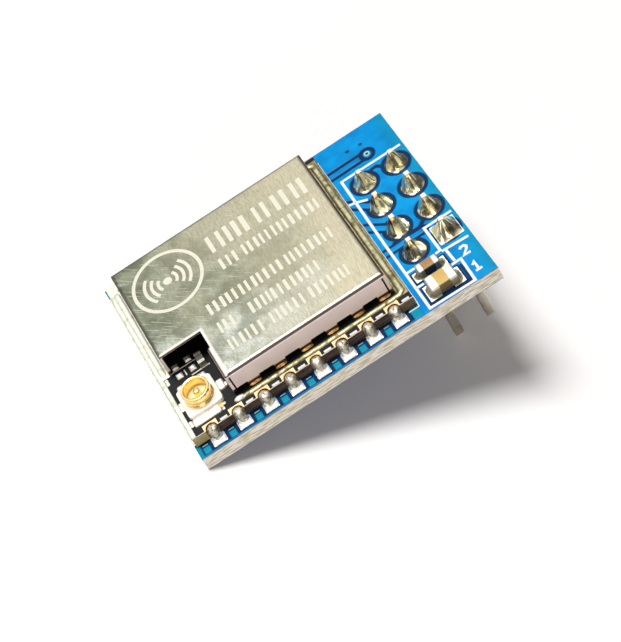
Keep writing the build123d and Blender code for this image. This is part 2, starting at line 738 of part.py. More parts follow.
pieces = [
    carrier_board.part,
    header_lands.part,
    module_lands.part,
    capacitor_lands.part,
    module_board.part,
    castellation_pads.part,
    solder_joints_near.part,
    solder_joints_far.part,
    shield_can.part,
    can_ground_bead.part,
    can_tab_joints.part,
    socket_base.part,
    socket_shell.part,
    socket_pin.part,
    socket_tabs.part,
    socket_solder.part,
    header_housing.part,
    header_pins.part,
    header_solder.part,
    large_capacitor_body.part,
    large_capacitor_ends.part,
    small_capacitor_body.part,
    small_capacitor_ends.part,
    capacitor_solder.part,
    inner_capacitor_bodies.part,
    inner_capacitor_ends.part,
    bare_lands.part,
    transceiver_body.part,
    transceiver_leads.part,
    crystal_base.part,
    crystal_lid.part,
    antenna_switch_body.part,
    antenna_switch_leads.part,
]
for piece in pieces:
    placed = piece.moved(rest_pose)
    placed.label = piece.label
    export_step(placed, f"parts/{piece.label}.step")
print(f"slope {degrees(slope):.2f} degrees, {len(pieces)} pieces")
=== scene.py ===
"""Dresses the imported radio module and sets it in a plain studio.

Every new piece is worked out in the carrier board's own frame, in millimetres: X runs along the board from
the antenna end to the header end, Y from the near long edge to the far one, and Z = 0 is its top face. The
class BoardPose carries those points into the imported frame, where the board leans on its pins.
"""

from __future__ import annotations

import json
import logging
import math
from collections.abc import Callable, Sequence
from dataclasses import dataclass, field
from enum import Enum
from functools import partial

import bmesh
import bpy
import numpy as np
from mathutils import Matrix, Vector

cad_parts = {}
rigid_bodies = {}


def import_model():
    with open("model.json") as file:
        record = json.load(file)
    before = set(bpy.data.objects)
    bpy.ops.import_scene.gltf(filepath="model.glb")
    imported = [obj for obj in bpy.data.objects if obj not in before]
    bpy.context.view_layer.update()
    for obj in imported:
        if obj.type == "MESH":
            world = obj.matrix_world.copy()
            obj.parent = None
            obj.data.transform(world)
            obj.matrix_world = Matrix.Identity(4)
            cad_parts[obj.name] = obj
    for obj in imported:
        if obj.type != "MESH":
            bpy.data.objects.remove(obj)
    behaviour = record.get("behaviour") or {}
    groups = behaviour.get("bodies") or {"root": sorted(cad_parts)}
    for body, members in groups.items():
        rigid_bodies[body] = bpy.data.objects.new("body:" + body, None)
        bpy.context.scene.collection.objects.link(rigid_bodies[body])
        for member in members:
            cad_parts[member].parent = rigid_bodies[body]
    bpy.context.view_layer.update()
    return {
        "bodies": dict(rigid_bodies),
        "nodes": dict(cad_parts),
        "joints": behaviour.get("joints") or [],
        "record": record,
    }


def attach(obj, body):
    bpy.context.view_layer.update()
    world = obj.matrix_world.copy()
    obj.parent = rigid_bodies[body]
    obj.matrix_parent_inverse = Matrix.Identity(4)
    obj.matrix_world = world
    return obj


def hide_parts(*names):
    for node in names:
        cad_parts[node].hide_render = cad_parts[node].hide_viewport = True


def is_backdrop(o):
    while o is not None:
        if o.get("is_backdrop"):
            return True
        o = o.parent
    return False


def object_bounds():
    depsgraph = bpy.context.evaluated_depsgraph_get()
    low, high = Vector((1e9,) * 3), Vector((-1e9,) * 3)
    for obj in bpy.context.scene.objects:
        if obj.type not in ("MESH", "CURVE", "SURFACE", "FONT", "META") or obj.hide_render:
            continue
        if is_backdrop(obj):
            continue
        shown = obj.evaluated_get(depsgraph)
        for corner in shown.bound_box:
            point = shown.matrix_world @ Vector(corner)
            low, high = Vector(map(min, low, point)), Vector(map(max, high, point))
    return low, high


Array = np.ndarray
Pair = tuple[float, float]
Triple = tuple[float, float, float]
Path = tuple[Pair, ...]
Colour = tuple[float, float, float, float]
Tree = bpy.types.NodeTree
Socket = bpy.types.NodeSocket
Adder = Callable[..., Socket]

LOG = logging.getLogger("radio_module")
METRE = 0.001  # one millimetre in metres
BODY = "root"


def hex_to_linear(code: str) -> Colour:
    """Turns an sRGB hex colour into linear RGBA.

    Each channel follows the sRGB curve: a straight line near black, and a power of 2.4 above it.

    Args:
        code: six hex digits, such as "1e90d8".

    Returns:
        Red, green, blue and an alpha of 1, in linear light.
    """
    channels = np.array([int(code[i : i + 2], 16) for i in (0, 2, 4)]) / 255
    linear = np.where(channels <= 0.04045, channels / 12.92, ((channels + 0.055) / 1.055) ** 2.4)
    return (*linear.tolist(), 1.0)


def add_node(
    tree: Tree,
    kind: str,
    inputs: dict[int | str, object] | None = None,
    output: int | str = 0,
    **settings: object,
) -> Socket | None:
    """Adds a node to a tree, with its settings and links.

    Args:
        tree: the node tree.
        kind: the node's type, such as "ShaderNodeMath".
        inputs: sockets, values or sRGB hex colours for the node's inputs, by name or number.
        output: the output that the caller goes on with.
        settings: the node's own properties.

    Returns:
        The chosen output socket, or None where the node has none.
    """
    node = tree.nodes.new(kind)
    for key, value in settings.items():
        setattr(node, key, value)
    for key, value in (inputs or {}).items():
        if isinstance(value, Socket):
            tree.links.new(value, node.inputs[key])
        else:
            node.inputs[key].default_value = hex_to_linear(value) if isinstance(value, str) else value
    return node.outputs[output] if len(node.outputs) else None


@dataclass(frozen=True)
class BoardPose:
    """Where the carrier board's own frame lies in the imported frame.

    Attributes:
        along: unit vector along the board, towards the header.
        up: unit vector out of the board's top face.
        origin: the board's near left top corner, in metres.
    """

    along: Array
    up: Array
    origin: Array

    @property
    def turn(self) -> Array:
        """The matrix whose rows are the board's X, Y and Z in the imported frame."""
        return np.array([self.along, (0.0, 1.0, 0.0), self.up])

    @classmethod
    def from_frame(cls, frame: dict) -> BoardPose:
        """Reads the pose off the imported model.

        The antenna socket's axis is the board's up, and the carrier's lowest corner along each of its own
        directions, with its highest one upwards, is the origin.


        Returns:
            The pose.
        """
        mounts = {mount["name"]: mount for mount in frame["record"]["mounts"]}
        up = np.array(mounts["antenna_socket"]["axis"], dtype=float)
        up /= np.linalg.norm(up)
        along = np.array([up[2], 0.0, -up[0]])
        turn = np.array([along, (0.0, 1.0, 0.0), up])
        corners = node_points(frame["nodes"]["carrier_board"]) @ turn.T
        lowest, highest = corners.min(axis=0), corners.max(axis=0)
        return cls(along, up, np.array([lowest[0], lowest[1], highest[2]]) @ turn)

    def place(self, points: Array) -> Array:
        """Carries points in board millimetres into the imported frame, in metres."""
        return self.origin + (np.asarray(points, dtype=float) * METRE) @ self.turn

    def extent(self, obj: bpy.types.Object) -> tuple[Array, Array]:
        """Gives an object's lowest and highest corner in board millimetres."""
        points = (node_points(obj) - self.origin) @ self.turn.T / METRE
        return points.min(axis=0), points.max(axis=0)

    @property
    def slope(self) -> float:
        """The board's slope in radians."""
        return math.atan2(self.along[2], self.along[0])


def node_points(obj: bpy.types.Object) -> Array:
    """Gives an object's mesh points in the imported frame.

    Args:
        obj: the object, whose own matrix is applied.

    Returns:
        X, Y and Z by row, in metres.
    """
    flat = np.empty(len(obj.data.vertices) * 3)
    obj.data.vertices.foreach_get("co", flat)
    matrix = np.array(obj.matrix_world)
    return flat.reshape(-1, 3) @ matrix[:3, :3].T + matrix[:3, 3]


@dataclass(frozen=True)
class Surface:
    """A mesh in board millimetres: its points, its quads and its triangles."""

    points: Array
    quads: Array
    triangles: Array

    @classmethod
    def from_grid(
        cls, grid: Array, closed_rows: bool = False, closed_columns: bool = False, capped: bool = False
    ) -> Surface:
        """Joins a grid of points into a surface.

        Args:
            grid: points by row and column.
            closed_rows: the last row meets the first.
            closed_columns: the last column meets the first.
            capped: the first and last rows are closed by fans to their middles.

        Returns:
            The surface.
        """
        rows, columns = grid.shape[:2]
        index = np.arange(rows * columns).reshape(rows, columns)
        if closed_columns:
            index = np.hstack([index, index[:, :1]])
        if closed_rows:
            index = np.vstack([index, index[:1]])
        around = [index[:-1, :-1], index[:-1, 1:], index[1:, 1:], index[1:, :-1]]
        quads = np.stack(around, axis=-1).reshape(-1, 4)
        points = grid.reshape(-1, 3)
        triangles = np.empty((0, 3), dtype=int)
        if capped:
            middles = np.array([grid[0].mean(axis=0), grid[-1].mean(axis=0)])
            first, last = index[0], index[-1]
            start = np.stack([first[1:], first[:-1], np.full(len(first) - 1, len(points))], axis=-1)
            end = np.stack([last[:-1], last[1:], np.full(len(last) - 1, len(points) + 1)], axis=-1)
            points = np.vstack([points, middles])
            triangles = np.vstack([start, end])
        return cls(points, quads, triangles)

    @classmethod
    def shell(cls, x: Array, y: Array, z: Array, looped: bool = False) -> Surface:
        """Joins rings of points into a closed surface.

        Args:
            x: X by ring and point.
            y: Y by ring and point.
            z: Z by ring and point, or by ring alone.
            looped: the last ring meets the first, instead of both being capped.

        Returns:
            The closed surface.
        """
        return cls.from_grid(np.stack(np.broadcast_arrays(x, y, z), axis=-1), looped, True, not looped)

    @classmethod
    def joined(cls, surfaces: Sequence[Surface]) -> Surface:
        """Puts several surfaces into one.

        Args:
            surfaces: the surfaces.

        Returns:
            One surface that holds them all.
        """
        shifts = np.cumsum([0] + [len(surface.points) for surface in surfaces])[:-1]
        return cls(
            np.vstack([surface.points for surface in surfaces]),
            np.vstack([surface.quads + shift for surface, shift in zip(surfaces, shifts)]),
            np.vstack([surface.triangles + shift for surface, shift in zip(surfaces, shifts)]),
        )

    def to_object(
        self, name: str, pose: BoardPose, closed: bool = True, crease: float = 38.0
    ) -> bpy.types.Object:
        """Makes a Blender object that sits at the origin, with its place in its mesh.

        Args:
            name: the piece's name.
            pose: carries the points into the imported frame.
            closed: every shell is closed, so its normals are worked out outwards.
            crease: edges that bend by more than this angle, in degrees, are drawn sharp.

        Returns:
            The object, linked to the scene.
        """
        mesh = bpy.data.meshes.new(name)
        faces = self.quads.tolist() + self.triangles.tolist()
        mesh.from_pydata(pose.place(self.points).tolist(), [], faces)
        if closed:
            working = bmesh.new()
            working.from_mesh(mesh)
            bmesh.ops.remove_doubles(working, verts=working.verts, dist=1e-7)
            bmesh.ops.recalc_face_normals(working, faces=working.faces)
            working.to_mesh(mesh)
            working.free()
        mesh.polygons.foreach_set("use_smooth", np.ones(len(mesh.polygons), dtype=bool))
        mesh.set_sharp_from_angle(angle=math.radians(crease))
        obj = bpy.data.objects.new(name, mesh)
        bpy.context.scene.collection.objects.link(obj)
        return obj


def wobble(values: Array, seed: int, period: float) -> Array:
    """Gives a smooth random curve between about -1 and 1.

    It is the sum of three sines, whose periods are the given one, a half and a third of it, with seeded
    phases.

    Args:
        values: where it is wanted, in the same unit as the period.
        seed: picks the phases.
        period: the longest wave.

    Returns:
        The curve at those values.
    """
    phases = np.random.default_rng(seed).uniform(0, 2 * np.pi, 3)
    waves = [np.sin(2 * np.pi * k * values / period + phases[k - 1]) / k for k in (1, 2, 3)]
    return np.sum(waves, axis=0) / 1.5


def rounded_rings(half_x: Array, half_y: Array, radius: Array, per_corner: int = 6) -> Array:
    """Gives rounded rectangles about the origin, one for each row of sizes.

    Each corner is a quarter circle about a point that lies one radius in from both sides.

    Args:
        half_x: half lengths along X.
        half_y: half lengths along Y.
        radius: corner radii.
        per_corner: points on each corner.

    Returns:
        X and Y by row and point, anticlockwise.
    """
    signs = np.array([(1, 1), (-1, 1), (-1, -1), (1, -1)], dtype=float)
    starts = np.arange(4) * np.pi / 2
    turn = starts[:, None] + np.linspace(0, np.pi / 2, per_corner)[None, :]
    arc = np.stack([np.cos(turn), np.sin(turn)], axis=-1)
    inner = np.stack([half_x - radius, half_y - radius], axis=-1)
    rings = signs[None, :, None, :] * inner[:, None, None, :] + radius[:, None, None, None] * arc[None]
    return rings.reshape(len(half_x), 4 * per_corner, 2)


def eased_block(
    middle: Pair,
    size: Pair,
    levels: Pair,
    corner: float,
    rim: float = 0.0,
    drop: float | None = None,
    steps: int = 5,
) -> Surface:
    """Makes a block with rounded upright corners and an eased upper rim.

    Rounded rectangles are stacked: along the rim their inset follows one minus the cosine of a quarter turn,
    and their height follows its sine. A corner's radius shrinks with the inset, to a tenth of it at least.

    Args:
        middle: X and Y of its middle.
        size: its length along X and Y.
        levels: its bottom and top.
        corner: radius of the upright corners.
        rim: how far in the rim is eased.
        drop: how far down the rim is eased, the same as rim where it isn't given.
        steps: rings on the rim.

    Returns:
        The closed surface.
    """
    fall = rim if drop is None else drop
    turn = np.linspace(0, np.pi / 2, steps)
    inset = np.concatenate([[0.0], rim * (1 - np.cos(turn))])
    level = np.concatenate([[levels[0]], levels[1] - fall + fall * np.sin(turn)])
    half = np.array(size) / 2
    rings = rounded_rings(half[0] - inset, half[1] - inset, np.maximum(corner - inset, 0.1 * corner))
    return Surface.shell(middle[0] + rings[..., 0], middle[1] + rings[..., 1], level[:, None])


def turned(middle: Pair, profile: Array, segments: int = 72, closed: bool = False) -> Surface:
    """Turns a profile of radius and height about an upright axis.

    Args:
        middle: X and Y of the axis.
        profile: radius and height by row.
        segments: steps round the axis.
        closed: the profile is a loop, as of a ring or tube.

    Returns:
        The closed surface.
    """
    turn = np.linspace(0, 2 * np.pi, segments, endpoint=False)
    radius, height = profile[:, :1], profile[:, 1:]
    return Surface.shell(
        middle[0] + radius * np.cos(turn), middle[1] + radius * np.sin(turn), height, closed
    )


def path_frames(path: Array, closed: bool = False) -> tuple[Array, Array]:
    """Gives each point of a flat path its sideways direction, mitred at corners.

    The direction is the sum of the two neighbouring edges' normals, over one plus their dot product.

    Args:
        path: X and Y by row.
        closed: the path is a loop.

    Returns:
        The sideways vectors, and the distance along the path.
    """
    steps = np.diff(np.vstack([path, path[:1]]) if closed else path, axis=0)
    lengths = np.linalg.norm(steps, axis=1)
    normals = np.stack([-steps[:, 1], steps[:, 0]], axis=-1) / lengths[:, None]
    before = np.roll(normals, 1, axis=0) if closed else np.vstack([normals[:1], normals])
    after = normals if closed else np.vstack([normals, normals[-1:]])
    share = np.maximum(1 + np.sum(before * after, axis=1, keepdims=True), 0.4)
    distance = np.concatenate([[0.0], np.cumsum(lengths)])[: len(path)]
    return (before + after) / share, distance


def ribbon(path: Array, width: float, level: float, thickness: float, closed: bool = False) -> Surface:
    """Makes a thin flat line, such as ink: a low trapezium carried along a path.

    Each side of the trapezium slopes over 0.12 of the width.

    Args:
        path: X and Y by row.
        width: the line's width.
        level: height of its underside.
        thickness: how far it stands up.
        closed: the path is a loop.

    Returns:
        The closed surface.
    """
    sideways, _ = path_frames(path, closed)
    across = np.array([-0.5, -0.5 + 0.12, 0.5 - 0.12, 0.5]) * width
    rise = level + np.array([0.0, 1.0, 1.0, 0.0]) * thickness
    flat = path[:, None, :] + sideways[:, None, :] * across[None, :, None]
    heights = np.broadcast_to(rise[None, :, None], (len(path), 4, 1))
    return Surface.from_grid(np.concatenate([flat, heights], axis=-1), closed, True, not closed)


def arc(middle: Pair, radius: float, start: float, end: float, count: int = 24) -> Array:
    """Gives points on a circle from one angle to another, in degrees."""
    turn = np.radians(np.linspace(start, end, count))
    return np.array(middle) + radius * np.stack([np.cos(turn), np.sin(turn)], axis=-1)


def resampled(path: Array, step: float) -> Array:
    """Gives points at even steps along a path of straight runs.

    Args:
        path: X and Y by row.
        step: the longest step.

    Returns:
        X and Y by row.
    """
    lengths = np.concatenate([[0.0], np.cumsum(np.linalg.norm(np.diff(path, axis=0), axis=1))])
    wanted = np.linspace(0, lengths[-1], max(int(lengths[-1] / step), 2) + 1)
    return np.stack([np.interp(wanted, lengths, path[:, i]) for i in (0, 1)], axis=-1)


def distance_to_path(x: Array, y: Array, path: Array) -> Array:
    """Gives each point's distance from a path of straight runs.

    Each point is dropped square onto each run, no further than its ends, and the least distance counts.

    Args:
        x: X of the points.
        y: Y of the points.
        path: X and Y by row.

    Returns:
        The distances.
    """
    least = np.full(x.shape, np.inf)
    for start, end in zip(path[:-1], path[1:]):
        run = end - start
        share = np.clip(((x - start[0]) * run[0] + (y - start[1]) * run[1]) / (run @ run), 0, 1)
        least = np.minimum(least, np.hypot(x - start[0] - share * run[0], y - start[1] - share * run[1]))
    return least


def distance_to_box(x: Array, y: Array, middle: Pair, half: Pair) -> Array:
    """Gives each point's signed distance from a rectangle, negative inside.

    Outside it is the length of the two overshoots past the half sizes, and inside it is the lesser depth.

    Args:
        x: X of the points.
        y: Y of the points.
        middle: the rectangle's middle.
        half: its half sizes.

    Returns:
        The distances.
    """
    out_x, out_y = np.abs(x - middle[0]) - half[0], np.abs(y - middle[1]) - half[1]
    outside = np.hypot(np.maximum(out_x, 0), np.maximum(out_y, 0))
    return outside + np.minimum(np.maximum(out_x, out_y), 0)


def rise(distance: Array, edge: float, softness: float = 0.05) -> Array:
    """Goes from 0 to 1 where a distance passes an edge, over a soft step."""
    return np.clip((distance - edge) / softness + 0.5, 0, 1)


@dataclass(frozen=True)
class Finish:
    """A surface finish: its name, the record's slot and its plain shader values."""

    name: str
    slot: str
    base: str
    roughness: float
    metallic: float = 0.0

    def surface(self, add: Adder, board: Socket) -> dict[str, object]:
        """Builds the pattern nodes.

        Args:
            add: adds a node to the material.
            board: the place in board millimetres.

        Returns:
            What goes into the shader's sockets, by name.
        """
        raise NotImplementedError

    def material(self, pose: BoardPose) -> bpy.types.Material:
        """Makes the material, whose patterns lie in board millimetres.

        The object's coordinates are scaled to millimetres, turned by the board's slope and shifted to the
        board's corner.

        Args:
            pose: where the board's frame lies.

        Returns:
            The material.
        """
        material = bpy.data.materials.new(self.name)
        material.use_nodes = True
        tree = material.node_tree
        tree.nodes.clear()
        add = partial(add_node, tree)
        place = add("ShaderNodeTexCoord", output="Object")
        shift = -(pose.turn @ pose.origin) / METRE
        board = add(
            "ShaderNodeMapping",
            {"Vector": place, "Location": shift, "Rotation": (0, pose.slope, 0), "Scale": (1 / METRE,) * 3},
        )
        inputs = {"Base Color": self.base, "Roughness": self.roughness, "Metallic": self.metallic}
        inputs.update(self.surface(add, board))
        shader = add("ShaderNodeBsdfPrincipled", inputs)
        add("ShaderNodeOutputMaterial", {"Surface": shader})
        return material


@dataclass(frozen=True)
class Metal(Finish):
    """A metal skin with stains, a changing gloss and a slightly uneven face.

    Attributes:
        stain: colour of the stains.
        stain_size: size of a stain in mm.
        stain_share: how much of the face is stained.
        relief: height of the uneven face in mm.
        relief_size: size of its lumps in mm.
        gloss_range: the roughness of the brightest and the dullest spots, as shares of the plain one.
    """

    stain: str = "8a7f6c"
    stain_size: float = 0.6
    stain_share: float = 0.4
    relief: float = 0.01
    relief_size: float = 0.25
    gloss_range: Pair = (0.75, 1.35)

    def surface(self, add: Adder, board: Socket) -> dict[str, object]:
        """Builds stains and lumps from two sizes of noise.

        Args:
            add: adds a node to the material.
            board: the place in board millimetres.

        Returns:
            The colour, the roughness and the uneven face.
        """
        cloud = add(
            "ShaderNodeTexNoise", {"Vector": board, "Scale": 1 / self.stain_size, "Detail": 4.0}, "Fac"
        )
        middle = 0.5 + 0.25 * (1 - 2 * self.stain_share)
        mask = add(
            "ShaderNodeMapRange",
            {"Value": cloud, "From Min": middle - 0.1, "From Max": middle + 0.12},
            interpolation_type="SMOOTHSTEP",
        )
        colour = add("ShaderNodeMix", {0: mask, 6: self.base, 7: self.stain}, 2, data_type="RGBA")
        bright, dull = self.gloss_range
        gloss = add(
            "ShaderNodeMapRange",
            {"Value": cloud, "To Min": self.roughness * bright, "To Max": self.roughness * dull},
        )
        lumps = add("ShaderNodeTexNoise", {"Vector": board, "Scale": 1 / self.relief_size}, "Fac")
        normal = add("ShaderNodeBump", {"Height": lumps, "Strength": 1.0, "Distance": self.relief * METRE})
        return {"Base Color": colour, "Roughness": gloss, "Normal": normal}


@dataclass(frozen=True)
class Moulding(Finish):
    """A moulded or fired part: an even colour with faint clouds and a fine grain.

    Attributes:
        cloud: the second colour.
        cloud_size: size of a cloud in mm.
        grain: height of the grain in mm.
        grain_size: size of the grain in mm, drawn coarse enough to show.
    """

    cloud: str = "101010"
    cloud_size: float = 0.9
    grain: float = 0.004
    grain_size: float = 0.06

    def surface(self, add: Adder, board: Socket) -> dict[str, object]:
        """Builds the clouds and the grain.

        Args:
            add: adds a node to the material.
            board: the place in board millimetres.

        Returns:
            The colour and the grained face.
        """
        cloud = add(
            "ShaderNodeTexNoise", {"Vector": board, "Scale": 1 / self.cloud_size, "Detail": 5.0}, "Fac"
        )
        colour = add("ShaderNodeMix", {0: cloud, 6: self.base, 7: self.cloud}, 2, data_type="RGBA")
        grain = add("ShaderNodeTexNoise", {"Vector": board, "Scale": 1 / self.grain_size}, "Fac")
        normal = add("ShaderNodeBump", {"Height": grain, "Strength": 0.8, "Distance": self.grain * METRE})
        return {"Base Color": colour, "Normal": normal}


@dataclass(frozen=True)
class ShadedChipSkin(Moulding):
    """A chip capacitor's skin, bright on top, with painted shade: its sides are painted darker below a
    height.

    Attributes:
        side: colour of the painted shade on the sides.
        level: height below which the sides are painted darker.
        fade: how far above that height the painted shade starts, and how far below it ends.
    """

    side: str = "5c5442"
    level: float = 0.8
    fade: Pair = (0.03, 0.06)

    def surface(self, add: Adder, board: Socket) -> dict[str, object]:
        """Adds the painted shade on the sides to the clouds and the grain.

        Args:
            add: adds a node to the material.
            board: the place in board millimetres.

        Returns:
            The colour and the grained face.
        """
        inputs = super().surface(add, board)
        # Painted shade: the sides below the level are painted darker.
        height = add("ShaderNodeSeparateXYZ", {0: board}, "Z")
        start, full = self.level + self.fade[0], self.level - self.fade[1]
        low = add("ShaderNodeMapRange", {"Value": height, "From Min": start, "From Max": full})
        inputs["Base Color"] = add(
            "ShaderNodeMix", {0: low, 6: inputs["Base Color"], 7: self.side}, 2, data_type="RGBA"
        )
        return inputs


@dataclass(frozen=True)
class Laminate(Finish):
    """Glass-epoxy laminate with a coloured mask on both faces and bare fibres on its cut edges.

    Attributes:
        edge: colour of the cut edge.
        fibre: colour of the darker glass bundles in it.
        bottom: level of the lower face.
        top: level of the upper face.
        mask_shade: second colour of the mask.
        cloud_size: size of the mask's clouds in mm.
        fibre_pitch: distance between glass layers in mm.
        fibre_length: length of a streak along the edge in mm.
        rim: how far the mask reaches down the edge in mm.
        edge_roughness: roughness of the cut edge.
        relief: height of the fibres in mm.
    """

    edge: str = "d9d6c2"
    fibre: str = "a9a184"
    bottom: float = -1.2
    top: float = 0.0
    mask_shade: str = "0a3f78"
    cloud_size: float = 1.6667
    fibre_pitch: float = 0.13
    fibre_length: float = 0.9091
    rim: float = 0.035
    edge_roughness: float = 0.75
    relief: float = 0.02

    def surface(self, add: Adder, board: Socket) -> dict[str, object]:
        """Builds the mask, and streaks that run along the edge where the height is between the faces.

        Args:
            add: adds a node to the material.
            board: the place in board millimetres.

        Returns:
            The colour, the roughness, the streaked face and a low gloss.
        """
        middle, half = (self.bottom + self.top) / 2, (self.top - self.bottom) / 2
        level = add("ShaderNodeSeparateXYZ", {0: board}, "Z")
        away = add("ShaderNodeMath", {0: level, 1: middle}, operation="SUBTRACT")
        height = add("ShaderNodeMath", {0: away}, operation="ABSOLUTE")
        on_edge = add("ShaderNodeMath", {0: height, 1: half - self.rim}, operation="LESS_THAN")
        scale = (1 / self.fibre_length, 1 / self.fibre_length, 1 / self.fibre_pitch)
        streaks = add("ShaderNodeMapping", {"Vector": board, "Scale": scale})
        fibres = add("ShaderNodeTexNoise", {"Vector": streaks, "Scale": 1.0, "Detail": 6.0}, "Fac")
        contrast = add("ShaderNodeMapRange", {"Value": fibres, "From Min": 0.43, "From Max": 0.6})
        edge = add("ShaderNodeMix", {0: contrast, 6: self.edge, 7: self.fibre}, 2, data_type="RGBA")
        cloud = add(
            "ShaderNodeTexNoise", {"Vector": board, "Scale": 1 / self.cloud_size, "Detail": 3.0}, "Fac"
        )
        mask = add("ShaderNodeMix", {0: cloud, 6: self.base, 7: self.mask_shade}, 2, data_type="RGBA")
        colour = add("ShaderNodeMix", {0: on_edge, 6: mask, 7: edge}, 2, data_type="RGBA")
        gloss = add(
            "ShaderNodeMapRange", {"Value": on_edge, "To Min": self.roughness, "To Max": self.edge_roughness}
        )
        normal = add("ShaderNodeBump", {"Height": fibres, "Strength": 0.5, "Distance": self.relief * METRE})
        return {"Base Color": colour, "Roughness": gloss, "Normal": normal, "Specular IOR Level": 0.2}


@dataclass(frozen=True)
class MaskFilm(Finish):
    """Glossy solder mask over copper: bright where copper lies under it, dark over bare laminate.

    Attributes:
        second: the second colour over copper.
        bare: colour over bare laminate.
        green: colour where the mask lies thin.
        cloud_size: size of the clouds in mm.
        peel: height of the orange-peel face in mm.
        peel_size: size of its bumps in mm.
    """

    second: str = "007ac2"
    bare: str = "052c55"
    green: str = "0d93a6"
    cloud_size: float = 1.4286
    peel: float = 0.006
    peel_size: float = 0.2

    def surface(self, add: Adder, board: Socket) -> dict[str, object]:
        """Reads the copper and thin attributes, and adds faint clouds and an orange-peel face.

        Args:
            add: adds a node to the material.
            board: the place in board millimetres.

        Returns:
            The colour, the uneven face and a low gloss.
        """
        copper = add("ShaderNodeAttribute", output="Fac", attribute_name="copper")
        thin = add("ShaderNodeAttribute", output="Fac", attribute_name="thin")
        cloud = add(
            "ShaderNodeTexNoise", {"Vector": board, "Scale": 1 / self.cloud_size, "Detail": 4.0}, "Fac"
        )
        shade = add("ShaderNodeMapRange", {"Value": cloud, "From Min": 0.35, "From Max": 0.7})
        colour = add("ShaderNodeMix", {0: shade, 6: self.base, 7: self.second}, 2, data_type="RGBA")
        colour = add("ShaderNodeMix", {0: thin, 6: colour, 7: self.green}, 2, data_type="RGBA")
        colour = add("ShaderNodeMix", {0: copper, 6: self.bare, 7: colour}, 2, data_type="RGBA")
        peel = add("ShaderNodeTexNoise", {"Vector": board, "Scale": 1 / self.peel_size}, "Fac")
        normal = add("ShaderNodeBump", {"Height": peel, "Strength": 0.6, "Distance": self.peel * METRE})
        return {"Base Color": colour, "Normal": normal, "Specular IOR Level": 0.1}


